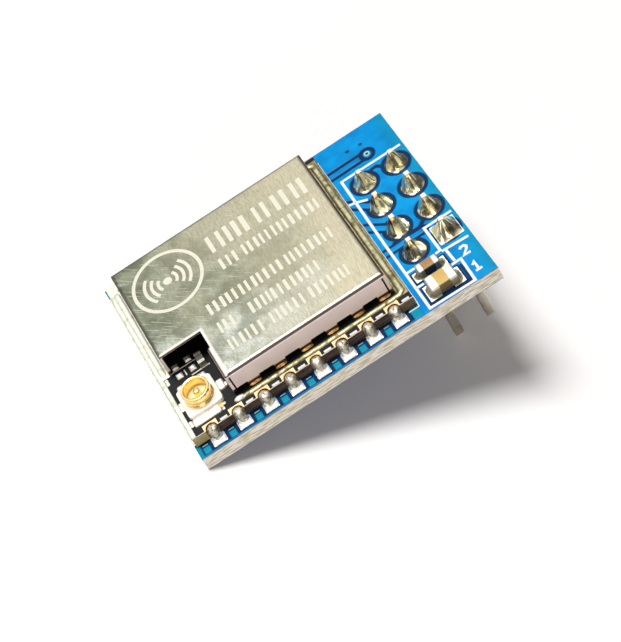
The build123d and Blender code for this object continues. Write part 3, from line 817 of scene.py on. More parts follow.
@dataclass(frozen=True)
class BrushedSheet(Finish):
    """Nickel-silver sheet with fine lines and browned feet, and with painted shade, highlights and
    reflection.

    Attributes:
        shaded_end_colour: colour of the darker end, painted shade in place of the room's reflection there.
        silver: colour of the darker end's near corner, lighter and mottled.
        blot: colour of the darker end's dull blots.
        scratch: colour of its slanting scratches.
        rim_highlight: colour of the painted highlight along the near fold and round the cut-out.
        line: colour of the brushed lines' shadow.
        wall: colour of the walls, painted pinkish white as a painted reflection of the bright floor before
            them.
        crease: colour of a dark line painted along the fold below its highlight, painted shade in its
            reflection.
        foot: colour of the browned tabs.
        top: level of the top face.
        fold: radius of the folds.
        fold_shade_rise: how far above the fold's lower end the painted dark line runs.
        foot_level: height up to which the walls are browned.
        reach: X of the darker and the brighter end of the painted shade.
        near_reach: Y at which the near corner's silver starts, and where it is full.
        near_highlight: Y of the near fold, and how far in from it the top is painted with the highlight.
        cutout: X and Y of the cut-out's inner corner, round which the top carries the painted highlight too.
        cloud_size: size of the random clouds in the painted shade, in mm.
        blot_size: size of the blots in mm.
        spot_size: size of the silver's spots in mm.
        scratch_size: length and width of the scratches in mm.
        scratch_turn: their slant in radians.
        line_pitch: distance between brushed lines in mm, drawn coarse enough to show.
        line_length: length of the lines in mm.
        relief: depth of the lines in mm.
        frost: how much of the metal's shine the walls, the highlighted rims and the dark fold line lose.
    """

    shaded_end_colour: str = "8f9681"
    silver: str = "dde0d8"
    blot: str = "5f6450"
    scratch: str = "e9ebe2"
    rim_highlight: str = "fdf8ee"
    line: str = "6b6a54"
    wall: str = "f4e6e3"
    crease: str = "3c1620"
    foot: str = "4a3420"
    top: float = 2.89
    fold: float = 0.3
    fold_shade_rise: float = 0.18
    foot_level: float = 1.2
    reach: Pair = (1.5, 15.0)
    near_reach: Pair = (10.0, 5.5)
    near_highlight: Pair = (2.38, 0.16)
    cutout: Pair = (4.35, 6.93)
    cloud_size: float = 4.5455
    blot_size: float = 2.2222
    spot_size: float = 0.7692
    scratch_size: Pair = (1.6, 0.07)
    scratch_turn: float = -0.75
    line_pitch: float = 0.05
    line_length: float = 0.3846
    relief: float = 0.004
    frost: float = 0.85

    def surface(self, add: Adder, board: Socket) -> dict[str, object]:
        """Builds the lines, the painted shade and scratches, the painted highlights, fold line and walls, and
        the feet.

        Each colour layer covers the ones before it by its share, which runs from 0 to 1.

        Args:
            add: adds a node to the material.
            board: the place in board millimetres.

        Returns:
            The colour, the roughness, the share of metal and the lined face.
        """
        along, across, level = (add("ShaderNodeSeparateXYZ", {0: board}, axis) for axis in "XYZ")
        fold_end = self.top - self.fold
        cloud = add(
            "ShaderNodeTexNoise", {"Vector": board, "Scale": 1 / self.cloud_size, "Detail": 5.0}, "Fac"
        )
        # Painted shade: the sheet darkens towards the left end, with random clouds, in place of the room's
        # reflection.
        drift = add(
            "ShaderNodeMapRange", {"Value": along, "From Min": self.reach[0], "From Max": self.reach[1]}
        )
        uneven = add("ShaderNodeMath", {0: cloud, 1: 1.1, 2: -0.55}, operation="MULTIPLY_ADD")
        bright_end = add("ShaderNodeMath", {0: drift, 1: uneven}, operation="ADD", use_clamp=True)
        shaded_end = add("ShaderNodeMath", {0: 1.0, 1: bright_end}, operation="SUBTRACT")
        nearness = add(
            "ShaderNodeMapRange",
            {"Value": across, "From Min": self.near_reach[0], "From Max": self.near_reach[1]},
        )
        silvery = add("ShaderNodeMath", {0: nearness, 1: bright_end}, operation="SUBTRACT", use_clamp=True)
        spots = add(
            "ShaderNodeTexNoise",
            {"Vector": board, "Scale": 1 / self.spot_size, "Detail": 7.0, "Roughness": 0.65},
            "Fac",
        )
        mottled = add(
            "ShaderNodeMapRange", {"Value": spots, "From Min": 0.38, "From Max": 0.6, "To Min": 0.5}
        )
        silvered = add("ShaderNodeMath", {0: silvery, 1: mottled}, operation="MULTIPLY")
        blots = add(
            "ShaderNodeTexNoise", {"Vector": board, "Scale": 1 / self.blot_size, "Detail": 5.0}, "Fac"
        )
        dull = add("ShaderNodeMapRange", {"Value": blots, "From Min": 0.44, "From Max": 0.58, "To Max": 0.9})
        dulled = add("ShaderNodeMath", {0: dull, 1: shaded_end}, operation="MULTIPLY")
        slanted = add(
            "ShaderNodeMapping",
            {"Vector": board, "Rotation": (0, 0, self.scratch_turn), "Scale": (*self.scratch_size, 1.0)},
            vector_type="TEXTURE",
        )
        scores = add("ShaderNodeTexNoise", {"Vector": slanted, "Scale": 1.0, "Detail": 2.0}, "Fac")
        score = add("ShaderNodeMapRange", {"Value": scores, "From Min": 0.6, "From Max": 0.68, "To Max": 0.7})
        scored = add("ShaderNodeMath", {0: score, 1: shaded_end}, operation="MULTIPLY")
        # Painted highlight: the top is painted near white along the near fold and round the cut-out's edges.
        near_fold_highlight = add(
            "ShaderNodeMapRange",
            {"Value": across, "From Min": self.near_highlight[0] + self.near_highlight[1], "From Max": self.near_highlight[0] + 0.06},
            interpolation_type="SMOOTHSTEP",
        )
        past_x = add("ShaderNodeMath", {0: along, 1: self.cutout[0]}, operation="SUBTRACT")
        past_y = add("ShaderNodeMath", {0: across, 1: self.cutout[1]}, operation="SUBTRACT")
        past = add("ShaderNodeMath", {0: past_x, 1: past_y}, operation="MAXIMUM")
        lip = add("ShaderNodeMapRange", {"Value": past, "From Min": 0.24, "From Max": 0.1, "To Max": 0.9})
        rim_highlight = add("ShaderNodeMath", {0: near_fold_highlight, 1: lip}, operation="MAXIMUM")
        scale = (1 / self.line_pitch, 1 / self.line_length, 1 / self.line_length)
        stretched = add("ShaderNodeMapping", {"Vector": board, "Scale": scale})
        lines = add("ShaderNodeTexNoise", {"Vector": stretched, "Scale": 1.0, "Detail": 3.0}, "Fac")
        depth = add("ShaderNodeMapRange", {"Value": lines, "From Min": 0.4, "From Max": 0.68, "To Max": 0.5})
        off_highlight = add("ShaderNodeMath", {0: rim_highlight, 1: -self.frost, 2: 1.0}, operation="MULTIPLY_ADD")
        brushed = add("ShaderNodeMath", {0: depth, 1: off_highlight}, operation="MULTIPLY")
        # Painted reflection: the walls below the fold are painted pinkish white and less metallic, for the
        # floor they mirror.
        walled = add(
            "ShaderNodeMapRange", {"Value": level, "From Min": fold_end + 0.06, "From Max": fold_end - 0.02}
        )
        # Painted shade: a dark line along the fold, just below the painted highlight.
        fold_shade_level = fold_end + self.fold_shade_rise
        band = add("ShaderNodeMath", {0: level, 1: fold_shade_level}, operation="SUBTRACT")
        off = add("ShaderNodeMath", {0: band}, operation="ABSOLUTE")
        fold_shade = add(
            "ShaderNodeMapRange", {"Value": off, "From Min": 0.09, "From Max": 0.05, "To Max": 0.95}
        )
        low = add(
            "ShaderNodeMapRange",
            {"Value": level, "From Min": self.foot_level + 0.03, "From Max": self.foot_level - 0.03},
        )
        colour = self.shaded_end_colour
        for share, cover in (
            (bright_end, self.base),
            (silvered, self.silver),
            (dulled, self.blot),
            (scored, self.scratch),
            (rim_highlight, self.rim_highlight),
            (brushed, self.line),
            (walled, self.wall),
            (fold_shade, self.crease),
            (low, self.foot),
        ):
            colour = add("ShaderNodeMix", {0: share, 6: colour, 7: cover}, 2, data_type="RGBA")
        gloss = add(
            "ShaderNodeMapRange",
            {"Value": lines, "To Min": self.roughness - 0.06, "To Max": self.roughness + 0.1},
        )
        normal = add("ShaderNodeBump", {"Height": lines, "Strength": 0.6, "Distance": self.relief * METRE})
        frosted = add("ShaderNodeMath", {0: walled, 1: rim_highlight}, operation="MAXIMUM")
        frosted = add("ShaderNodeMath", {0: frosted, 1: fold_shade}, operation="MAXIMUM")
        metal = add("ShaderNodeMath", {0: frosted, 1: -self.frost, 2: 1.0}, operation="MULTIPLY_ADD")
        return {"Base Color": colour, "Roughness": gloss, "Metallic": metal, "Normal": normal}


@dataclass(frozen=True)
class RimmedGold(Finish):
    """Thin gold over nickel on the castellation pads, with a copper-orange rim round each notch.

    Attributes:
        rim: colour of the rim.
        first: X of a notch.
        pitch: distance between notches.
        edges: Y of the two notched edges.
        rim_reach: radius that the rim reaches to.
        relief: height of the uneven face in mm.
        relief_size: size of its lumps in mm.
    """

    rim: str = "de9f5c"
    first: float = 1.65
    pitch: float = 2.0
    edges: Pair = (1.1, 16.8)
    rim_reach: float = 0.44
    relief: float = 0.008
    relief_size: float = 0.1667

    def surface(self, add: Adder, board: Socket) -> dict[str, object]:
        """Works out the distance to the nearest notch's middle and colours its rim.

        Args:
            add: adds a node to the material.
            board: the place in board millimetres.

        Returns:
            The colour and the uneven face.
        """
        along, across = (add("ShaderNodeSeparateXYZ", {0: board}, axis) for axis in "XY")
        middle, half = sum(self.edges) / 2, (self.edges[1] - self.edges[0]) / 2
        wrapped = add(
            "ShaderNodeMath",
            {0: along, 1: self.first - self.pitch / 2, 2: self.first + self.pitch / 2},
            operation="WRAP",
        )
        side = add("ShaderNodeMath", {0: wrapped, 1: self.first}, operation="SUBTRACT")
        off = add("ShaderNodeMath", {0: across, 1: middle}, operation="SUBTRACT")
        mirrored = add("ShaderNodeMath", {0: off}, operation="ABSOLUTE")
        inward = add("ShaderNodeMath", {0: half, 1: mirrored}, operation="SUBTRACT")
        spot = add("ShaderNodeCombineXYZ", {0: side, 1: inward})
        away = add("ShaderNodeVectorMath", {0: spot}, "Value", operation="LENGTH")
        near = add(
            "ShaderNodeMapRange",
            {"Value": away, "From Min": self.rim_reach + 0.06, "From Max": self.rim_reach - 0.02},
        )
        colour = add("ShaderNodeMix", {0: near, 6: self.base, 7: self.rim}, 2, data_type="RGBA")
        lumps = add("ShaderNodeTexNoise", {"Vector": board, "Scale": 1 / self.relief_size}, "Fac")
        normal = add("ShaderNodeBump", {"Height": lumps, "Strength": 1.0, "Distance": self.relief * METRE})
        return {"Base Color": colour, "Normal": normal}


# Fibreglass under a glossy blue mask: deep blue below, and cream sawn edges with greyish glass layers
BLUE_LAMINATE = Laminate("blue_masked_laminate", "blue_board", "085a92", 0.5, edge="fffcf2", fibre="cfcaac")
# Fibreglass under a black mask: its sawn edge is browned by the mask and the flux
DARK_LAMINATE = Laminate(
    "black_masked_laminate", "dark_board", "151617", 0.45,
    edge="5f5147", fibre="3c3029", bottom=0.04, top=0.84, mask_shade="0a0b0b",
)
# The corner of the module board that the black mask doesn't reach: olive glass epoxy, dull
BARE_LAMINATE = Moulding(
    "bare_olive_laminate", "dark_board", "c9bb80", 0.6,
    cloud="9d9058", cloud_size=0.4, grain=0.006, grain_size=0.1,
)
# The same glass epoxy at the other end, where flux has browned it
BROWN_LAMINATE = Moulding(
    "fluxed_brown_laminate", "dark_board", "7a6844", 0.6,
    cloud="4e4028", cloud_size=0.3, grain=0.006, grain_size=0.1,
)
# Solder mask over copper: a clear bright blue with a soft gloss
BLUE_MASK = MaskFilm("blue_mask_over_copper", "blue_board", "009be0", 0.4)
# Hot-air levelled tin: nearly white, with a few dull clouds
LEVELLED_TIN = Metal(
    "levelled_tin", "tinned_lands", "fdfbf4", 0.48, 0.75, stain="d8d2c0", stain_size=0.5, stain_share=0.3,
    relief=0.02, relief_size=0.22,
)
# Tin so thin on a via's ring that the mask's green shows through
THIN_TIN = Metal("thin_via_tin", "tinned_lands", "a9c4a4", 0.4, 1.0, stain="8fb89a", stain_size=0.3)
# Tin on the boards' left margins, dulled a little towards green
MARGIN_TIN = Metal(
    "dulled_margin_tin", "tinned_lands", "dde0d0", 0.5, 0.6, stain="bfc2ae", stain_size=0.5, stain_share=0.35,
    relief=0.02, relief_size=0.22,
)
# Reflowed tin-silver solder, clouded by flux: warm grey, lumpy, with a soft gloss
REFLOWED_SOLDER = Metal(
    "reflowed_solder", "solder", "d6cebc", 0.42, 0.75,
    stain="73694f", stain_size=0.2, relief=0.02, relief_size=0.18,
)
# Solder that has wetted a clean land: pale and bright
BRIGHT_SOLDER = Metal(
    "bright_wetted_solder", "solder", "faf8f2", 0.42, 0.75, stain="c5c0ae", stain_size=0.45, stain_share=0.3,
    relief=0.03, relief_size=0.2,
)
# Hand-fed solder on the header: bright cream facets with olive folds from old flux
HAND_SOLDER = Metal(
    "hand_fed_solder", "solder", "fbf3ce", 0.21, 0.95, stain="846e3a", stain_size=0.7, stain_share=0.34,
    relief=0.003, relief_size=0.5,
)
# Solder that climbs the chip capacitors, clouded olive by flux
CHIP_SOLDER = Metal(
    "clouded_chip_solder", "solder", "cbc3a6", 0.4, 0.8, stain="7d7358", stain_size=0.4, stain_share=0.45,
    relief=0.02, relief_size=0.2,
)
# The bead on the ground track, dulled to a flecked olive by flux
BEAD_SOLDER = Metal(
    "dull_bead_solder", "solder", "b0ab88", 0.5, 1.0,
    stain="6e6946", stain_size=0.4, relief=0.005, relief_size=0.3,
)
# The bare ground track: tinned copper, brown with flux
TRACK_METAL = Metal(
    "fluxed_ground_track", "tinned_lands", "a39670", 0.45, 1.0, stain="786a44", stain_size=0.5, relief=0.004,
    relief_size=0.3,
)
# The feet of the tabs, where the flux has burnt to a golden brown
FLUXED_FOOT = Metal(
    "fluxed_tab_foot", "solder", "dcae6e", 0.4, 1.0,
    stain="8a6030", stain_size=0.3, relief=0.006, relief_size=0.2,
)
# Brushed nickel silver: warm grey, with painted shade that turns it olive towards one end, where it is
# scratched
NICKEL_SILVER = BrushedSheet("brushed_nickel_silver", "can_sheet", "c9c0a6", 0.32, 1.0)
# Laser-marked metal: frosted, so it looks cream and flat
FROSTED_MARK = Moulding(
    "laser_frosted_mark", "can_sheet", "efedde", 0.6,
    cloud="d9d6bf", cloud_size=0.16, grain=0.002, grain_size=0.08,
)
# Immersion gold over nickel: a matt, pale orange gold
PAD_GOLD = RimmedGold("immersion_gold_pads", "gold_pads", "f8ddae", 0.36, 1.0)
# Bright plated gold on turned brass: a clean yellow shine
BRIGHT_GOLD = Metal(
    "bright_plated_gold", "socket_gold", "fce29a", 0.24, 1.0,
    stain="f6d284", stain_size=0.9, stain_share=0.35, relief=0.0005, relief_size=0.4,
)
# Liquid-crystal polymer, moulded: an even white with hardly any gloss
WHITE_POLYMER = Moulding(
    "white_moulded_polymer", "socket_plastic", "fbf8f0", 0.5,
    cloud="efe9dc", cloud_size=0.8,
)
# The same white polymer inside the barrel, painted cream as reflected light from the gold barrel
GOLD_LIT_POLYMER = Moulding("gold_lit_polymer", "socket_plastic", "fdeec2", 0.5, cloud="f6dfa6", cloud_size=0.8)
# Glass-filled nylon, moulded: black, with the dull grain of its fibres
BLACK_NYLON = Moulding(
    "black_glass_filled_nylon", "header_plastic", "1a1a1b", 0.5, cloud="0e0e0f", cloud_size=0.5, grain=0.006,
    grain_size=0.08,
)
# Drawn pin wire with a flash of gold: pale, with long faint clouds
PIN_GOLD = Metal(
    "gold_flashed_pin_wire", "pin_plating", "f5f0de", 0.32, 1.0,
    stain="dccfae", stain_size=1.2, stain_share=0.3, relief=0.004, relief_size=0.3,
)
# Barium titanate ceramic, fired and tumbled: tan, with a faint grain and painted shade down its sides
TAN_CERAMIC = ShadedChipSkin(
    "fired_tan_ceramic", "chip_ceramic", "dcb968", 0.42, cloud="c8a45c", cloud_size=0.5, grain_size=0.07,
    side="6b5c34", level=0.86,
)
# A browner grade of the same ceramic, with the same painted shade down its sides
BROWN_CERAMIC = ShadedChipSkin(
    "fired_brown_ceramic", "chip_ceramic", "b58a54", 0.42, cloud="94703e", cloud_size=0.5, grain_size=0.07,
    side="33281a", level=0.7,
)
# Plated tin on the chips' ends: a bright cream top, with the sides below it painted olive as shade
PLATED_TIN = ShadedChipSkin(
    "plated_tin_caps", "chip_ends", "fbf6ea", 0.4, 0.6, cloud="e6dcc4", cloud_size=0.4, grain=0.006,
    grain_size=0.12, side="9a8f6c", level=0.74,
)
# The same tin on the small chips under the can, dull grey
INNER_TIN = Metal(
    "dull_tin_caps", "chip_ends", "cfcabc", 0.42, 1.0, stain="a39d8c", stain_share=0.3, stain_size=0.4,
    relief=0.016, relief_size=0.15,
)
# Moulding epoxy of the chips: nearly black, matt and finely grained
BLACK_EPOXY = Moulding(
    "black_moulded_epoxy", "moulded_black", "1c1c1e", 0.55, cloud="101012", cloud_size=0.4, grain_size=0.05
)
# Tinned copper leads: silvery, with warm smears
TINNED_LEAD = Metal("tinned_copper_lead", "tinned_leads", "d9d6cf", 0.3, 1.0, stain="aaa391", stain_size=0.4)
# Alumina-loaded ceramic of the crystal's base: a flat dark grey
GREY_CERAMIC = Moulding(
    "grey_fired_ceramic", "crystal_ceramic", "5b5850", 0.5,
    cloud="454239", cloud_size=0.4,
)
# Rolled iron-nickel lid: smooth, grey and fairly bright
LID_METAL = Metal("rolled_lid_metal", "crystal_metal", "cfcac0", 0.25, 1.0, stain="a9a294", stain_size=0.8)
# Screen-printed legend: thick white ink
WHITE_INK = Moulding(
    "white_legend_ink", "blue_board", "f6f8f8", 0.55,
    cloud="e6ecee", cloud_size=0.4, grain_size=0.1,
)
# Legend ink that the mask half covers: grey with a green cast
FADED_INK = Moulding(
    "faded_legend_ink", "blue_board", "9dbab2", 0.6,
    cloud="7ea39e", cloud_size=0.3, grain_size=0.1,
)
# A painted highlight: a pale line along the top of the module board's sawn edges
EDGE_HIGHLIGHT = Moulding(
    "painted_edge_highlight", "dark_board", "f1e6de", 0.6,
    cloud="b9a896", cloud_size=0.2, grain=0.006, grain_size=0.08,
)
# The module board's legend: thinner ink, a little yellowed
DULL_INK = Moulding(
    "module_legend_ink", "dark_board", "f4f4ee", 0.6,
    cloud="cfcfc2", cloud_size=0.3, grain_size=0.1,
)


@dataclass
class Workshop:
    """Makes pieces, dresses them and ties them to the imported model.

    Attributes:
        pose: where the board's frame lies.
        materials: the materials made so far, by name.
    """

    frame: dict
    pose: BoardPose
    materials: dict[str, bpy.types.Material] = field(default_factory=dict)

    def cloth(self, finish: Finish) -> bpy.types.Material:
        """Gives the material of a finish, made once.

        Args:
            finish: the finish.

        Returns:
            Its material.
        """
        if finish.name not in self.materials:
            self.materials[finish.name] = finish.material(self.pose)
        return self.materials[finish.name]

    def piece(
        self,
        name: str,
        surfaces: Sequence[Surface],
        finish: Finish,
        stands_for: Sequence[str] = (),
        closed: bool = True,
        crease: float = 38.0,
    ) -> bpy.types.Object:
        """Makes one finished piece.

        Args:
            name: the piece's name.
            surfaces: what it is made of.
            finish: its finish.
            stands_for: the CAD nodes that it replaces.
            closed: every shell is closed.
            crease: angle in degrees from which edges are sharp.

        Returns:
            The object.
        """
        obj = Surface.joined(surfaces).to_object(name, self.pose, closed, crease)
        obj.data.materials.append(self.cloth(finish))
        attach(obj, BODY)
        if stands_for:
            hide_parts(*stands_for)
        LOG.info("piece %s: %d faces", name, len(obj.data.polygons))
        return obj

    def dress(self, node: str, finish: Finish) -> None:
        """Gives a CAD node its finish.

        Args:
            node: the node's name.
            finish: its finish.
        """
        obj = self.frame["nodes"][node]
        for slot in obj.material_slots:
            slot.material = self.cloth(finish)
        if not obj.material_slots:
            obj.data.materials.append(self.cloth(finish))
        LOG.info("node %s: %s", node, finish.name)

    def extent(self, node: str) -> tuple[Array, Array]:
        """Gives a CAD node's lowest and highest corner in board millimetres."""
        return self.pose.extent(self.frame["nodes"][node])


class Edge(Enum):
    """The module board's two notched edges: the way out of the board along Y."""

    NEAR = -1
    FAR = 1


@dataclass
class Layout:
    """Places that several sub-assemblies share, in board millimetres.

    The sides of the module board and of the can are left and right along X, and near and far along Y.
    """

    foil: float = 0.04
    module_top: float = 0.84
    module_left: float = 0.15
    module_right: float = 17.15
    module_near: float = 1.1
    module_far: float = 16.8
    carrier_length: float = 22.8
    carrier_depth: float = 17.6
    notch_count: int = 8
    notch_pitch: float = 2.0
    pitch: float = 2.54
    header_middle: Pair = (20.32, 8.9)
    can_left: float = 1.05
    can_right: float = 16.35
    can_near: float = 2.38
    can_far: float = 15.78
    can_top: float = 2.89
    cutout_right: float = 4.35
    cutout_far: float = 6.93

    @property
    def notches(self) -> Array:
        """X of each castellation notch."""
        middle = (self.module_left + self.module_right) / 2
        return middle + (np.arange(self.notch_count) - (self.notch_count - 1) / 2) * self.notch_pitch

    @property
    def pins(self) -> list[Pair]:
        """X and Y of each header pin, column by column from the near end."""
        columns = self.header_middle[0] + np.array([-0.5, 0.5]) * self.pitch
        rows = self.header_middle[1] + (np.arange(4) - 1.5) * self.pitch
        return [(float(x), float(y)) for x in columns for y in rows]

    @property
    def first_pin(self) -> Pair:
        """The pin on the square land."""
        return self.pins[4]


@dataclass
class Assembly:
    """A sub-assembly that makes its pieces and dresses them.

    Attributes:
        shop: makes and dresses the pieces.
        layout: the places that it shares with the others.
    """

    shop: Workshop
    layout: Layout

    def build(self) -> None:
        """Builds and dresses the pieces."""
        raise NotImplementedError


@dataclass
class CarrierBoard(Assembly):
    """The blue adapter board: its mask over the copper, its legend and its tinned lands.

    Attributes:
        film_low: level of the mask on bare laminate.
        film_relief: how much higher it lies on copper.
        pour_start: how far under the module board the copper pour begins.
        ring_clearance: radius of the bare ring round a header land.
        chip_clearance: width of the bare frame round a capacitor's land.
        long_strips: width and brightness of the copper along the long edges.
        left_strip: the same along the left end.
        square_rows: how far in from the near and far edge the copper squares lie.
        via_ring: inner and outer radius, lower and upper level of the via's tinned ring.
        end_strip: X, width and thickness of the tinned strip on the left end.
        end_strip_stops: how far it stops short of the near and far edge.
        dash_row: Y, half length and width of the faded dashes.
        chip_lands: middle and half size of each capacitor's land.
        gaps: path and half width of each bare gap: most join two clearances, and one is partly painted shade.
        tracks: path, half width and clearance of each track that shows.
    """

    grid_step: float = 0.05
    film_low: float = 0.006
    film_relief: float = 0.026
    pour_start: float = 0.7
    ring_clearance: float = 1.12
    chip_clearance: float = 0.16
    long_strips: Pair = (0.13, 0.55)
    left_strip: Pair = (0.3, 0.85)
    square_rows: Pair = (0.44, 0.3)
    square_half: Pair = (0.24, 0.26)
    via: Pair = (20.36, 14.94)
    via_ring: tuple[float, float, float, float] = (0.12, 0.21, 0.02, 0.05)
    end_strip: Triple = (0.075, 0.14, 0.03)
    end_strip_stops: Pair = (1.3, 0.9)
    ink_width: float = 0.21
    outline_width: float = 0.1
    ink_level: float = 0.028
    ink_thickness: float = 0.018
    dash_row: Triple = (0.87, 0.2, 0.08)
    chip_lands: tuple[tuple[Pair, Pair], ...] = (
        ((18.42, 1.25), (0.42, 0.71)),
        ((20.26, 1.25), (0.42, 0.71)),
        ((18.4, 2.98), (0.46, 0.42)),
        ((19.92, 2.98), (0.46, 0.42)),
    )
    gaps: tuple[tuple[Path, float], ...] = (
        (((19.9, 13.45), (20.35, 13.5), (20.8, 13.1)), 0.15),
        (((18.3, 6.62), (20.3, 6.62), (20.95, 7.15)), 0.17),
        # Partly painted shade: this bare strip along the large capacitor's near side is widened to lie dark
        # in its shadow.
        (((17.9, 0.42), (20.7, 0.42)), 0.24),
        (((20.95, 0.4), (20.95, 1.9)), 0.1),
    )
    tracks: tuple[tuple[Path, float, float], ...] = (
        (((20.4, 6.25), (17.2, 6.22)), 0.18, 0.24),
        (((20.36, 14.94), (17.2, 14.9)), 0.2, 0.26),
        (((20.36, 14.94), (20.37, 14.94)), 0.3, 0.32),
        (((19.05, 7.63), (18.4, 8.2), (17.2, 9.2)), 0.2, 0.24),
        (((19.05, 10.17), (18.4, 10.7), (17.2, 11.8)), 0.2, 0.24),
        (((20.37, 16.07), (20.38, 16.07)), 0.03, 0.1),
        (((19.34, 16.15), (19.35, 16.15)), 0.03, 0.11),
    )

    def build(self) -> None:
        """Builds and dresses the board."""
        self.shop.dress("carrier_board", BLUE_LAMINATE)
        for node in ("header_lands", "module_lands", "capacitor_lands"):
            self.shop.dress(node, LEVELLED_TIN)
        self.build_mask()
        self.shop.piece("carrier_legend", self.legend(), WHITE_INK)
        y, half, width = self.dash_row
        middles = self.layout.notches - self.layout.notch_pitch / 2
        dashes = [np.array([(x - half, y), (x + half, y)]) for x in middles]
        drawn = [ribbon(dash, width, self.film_low, self.ink_thickness) for dash in dashes]
        self.shop.piece("carrier_edge_dashes", drawn, FADED_INK)
        bore, rim, low, high = self.via_ring
        ring = turned(self.via, np.array([(bore, low), (rim, low), (rim, high), (bore, high)]), 32, True)
        self.shop.piece("carrier_via_ring", [ring], THIN_TIN)
        x, width, thickness = self.end_strip
        near, far = self.end_strip_stops[0], self.layout.carrier_depth - self.end_strip_stops[1]
        strip = ribbon(np.array([(x, near), (x, far)]), width, 0.0, thickness)
        self.shop.piece("carrier_end_strip", [strip], MARGIN_TIN)

    def copper(self, x: Array, y: Array) -> Array:
        """Works out where copper lies under the mask: 1 on copper, 0 on bare laminate.

        The pour covers the header end, less a clearance round each land and along each track. The near and
        far strips are bare, but for a strip along the very edge and a square between each two lands.

        Args:
            x: X of the points.
            y: Y of the points.

        Returns:
            The share of copper at each point.
        """
        layout = self.layout
        start = layout.module_right - self.pour_start
        pour = rise(x, start)
        for pin in layout.pins:
            away = np.hypot(x - pin[0], y - pin[1])
            if pin == layout.first_pin:
                away = distance_to_box(x, y, pin, (0.0, 0.0))
            pour *= rise(away, self.ring_clearance)
        for middle, half in self.chip_lands:
            pour *= rise(distance_to_box(x, y, middle, half), self.chip_clearance)
        for path, half_width in self.gaps:
            pour *= rise(distance_to_path(x, y, np.array(path)), half_width)
        for path, half_width, clearance in self.tracks:
            away = distance_to_path(x, y, np.array(path))
            pour = np.maximum(pour * rise(away, half_width + clearance), 1 - rise(away, half_width))
        pour *= rise(np.hypot(x - self.via[0], y - self.via[1]), 0.1)
        width, share = self.long_strips
        strip = share * np.maximum(1 - rise(y, width), rise(y, layout.carrier_depth - width))
        width, share = self.left_strip
        strip = np.maximum(strip, share * (1 - rise(x, width)))
        for middle_x in layout.notches - layout.notch_pitch / 2:
            for middle_y in (self.square_rows[0], layout.carrier_depth - self.square_rows[1]):
                square = distance_to_box(x, y, (middle_x, middle_y), self.square_half)
                strip = np.maximum(strip, 1 - rise(square, 0.0))
        return np.where(x > start, pour, strip)

    def film(self, low: Pair, high: Pair) -> tuple[Surface, Array, Array]:
        """Makes one sheet of mask as a height over the board: low on bare laminate, raised on copper.

        Its outer border comes down to the board.

        Args:
            low: lowest X and Y.
            high: highest X and Y.

        Returns:
            The sheet, and at each of its points the copper and how thin the mask lies.
        """
        layout = self.layout
        counts = [max(int(round((high[i] - low[i]) / self.grid_step)), 2) + 1 for i in (0, 1)]
        x, y = np.meshgrid(
            np.linspace(low[0], high[0], counts[0]), np.linspace(low[1], high[1], counts[1]), indexing="ij"
        )
        copper = self.copper(x, y)
        height = self.film_low + self.film_relief * copper
        height[[0, -1], :] = 0.0
        height[:, [0, -1]] = 0.0
        beside = (x < layout.module_right) & (y > 0.14)
        thin = 0.8 * beside + 0.5 * (x > layout.module_right) * rise(x, 22.1, 1.0)
        sheet = Surface.from_grid(np.stack([x, y, height], axis=-1))
        return Surface(sheet.points, sheet.quads[:, ::-1], sheet.triangles), copper.ravel(), thin.ravel()

    def build_mask(self) -> None:
        """Builds the mask of the header end and of the near and far strips as one piece."""
        layout = self.layout
        sheets = [
            self.film((layout.module_right, 0.0), (layout.carrier_length, layout.carrier_depth)),
            self.film((0.0, 0.0), (layout.module_right, layout.module_near)),
            self.film((0.0, layout.module_far), (layout.module_right, layout.carrier_depth)),
        ]
        obj = self.shop.piece("carrier_mask", [sheet[0] for sheet in sheets], BLUE_MASK, closed=False)
        for name, place in (("copper", 1), ("thin", 2)):
            values = np.concatenate([sheet[place] for sheet in sheets]).astype(np.float32)
            obj.data.attributes.new(name, "FLOAT", "POINT").data.foreach_set("value", values)

    def legend(self) -> list[Surface]:
        """Makes the printed lines: the frames round the header and the capacitors, and two numerals.

        Returns:
            The lines.
        """
        lines = [
            [
                (22.57, 13.98), (17.8, 13.99), (17.7, 7.2), (17.68, 0.2), (21.13, 0.12), (21.2, 2.32),
                (20.47, 2.3),
            ],
            [(20.8, 2.44), (20.76, 3.62)],
            [(22.6, 6.3), (20.45, 6.3), (20.45, 3.9), (20.05, 3.86)],
            [(20.48, 3.75), (22.5, 3.64)],
            [(17.67, 3.8), (18.38, 3.8)],
            [(17.66, 2.25), (18.28, 2.25)],
            [(17.28, 11.75), (17.78, 11.63), (18.56, 11.26)],
            [(21.5, 3.02), (21.62, 3.16), (21.86, 3.16), (21.98, 3.0), (21.9, 2.8), (21.5, 2.4), (22.0, 2.4)],
            [(21.55, 1.3), (21.76, 1.5), (21.76, 0.74)],
            [(21.52, 0.74), (22.0, 0.74)],
        ]
        drawn = [ribbon(np.array(line), self.ink_width, self.ink_level, self.ink_thickness) for line in lines]
        outline = np.array([(16.4, 0.86), (17.17, 0.86), (17.21, 1.2), (17.21, 16.75)])
        drawn.append(ribbon(outline, self.outline_width, self.ink_level, self.ink_thickness))
        return drawn


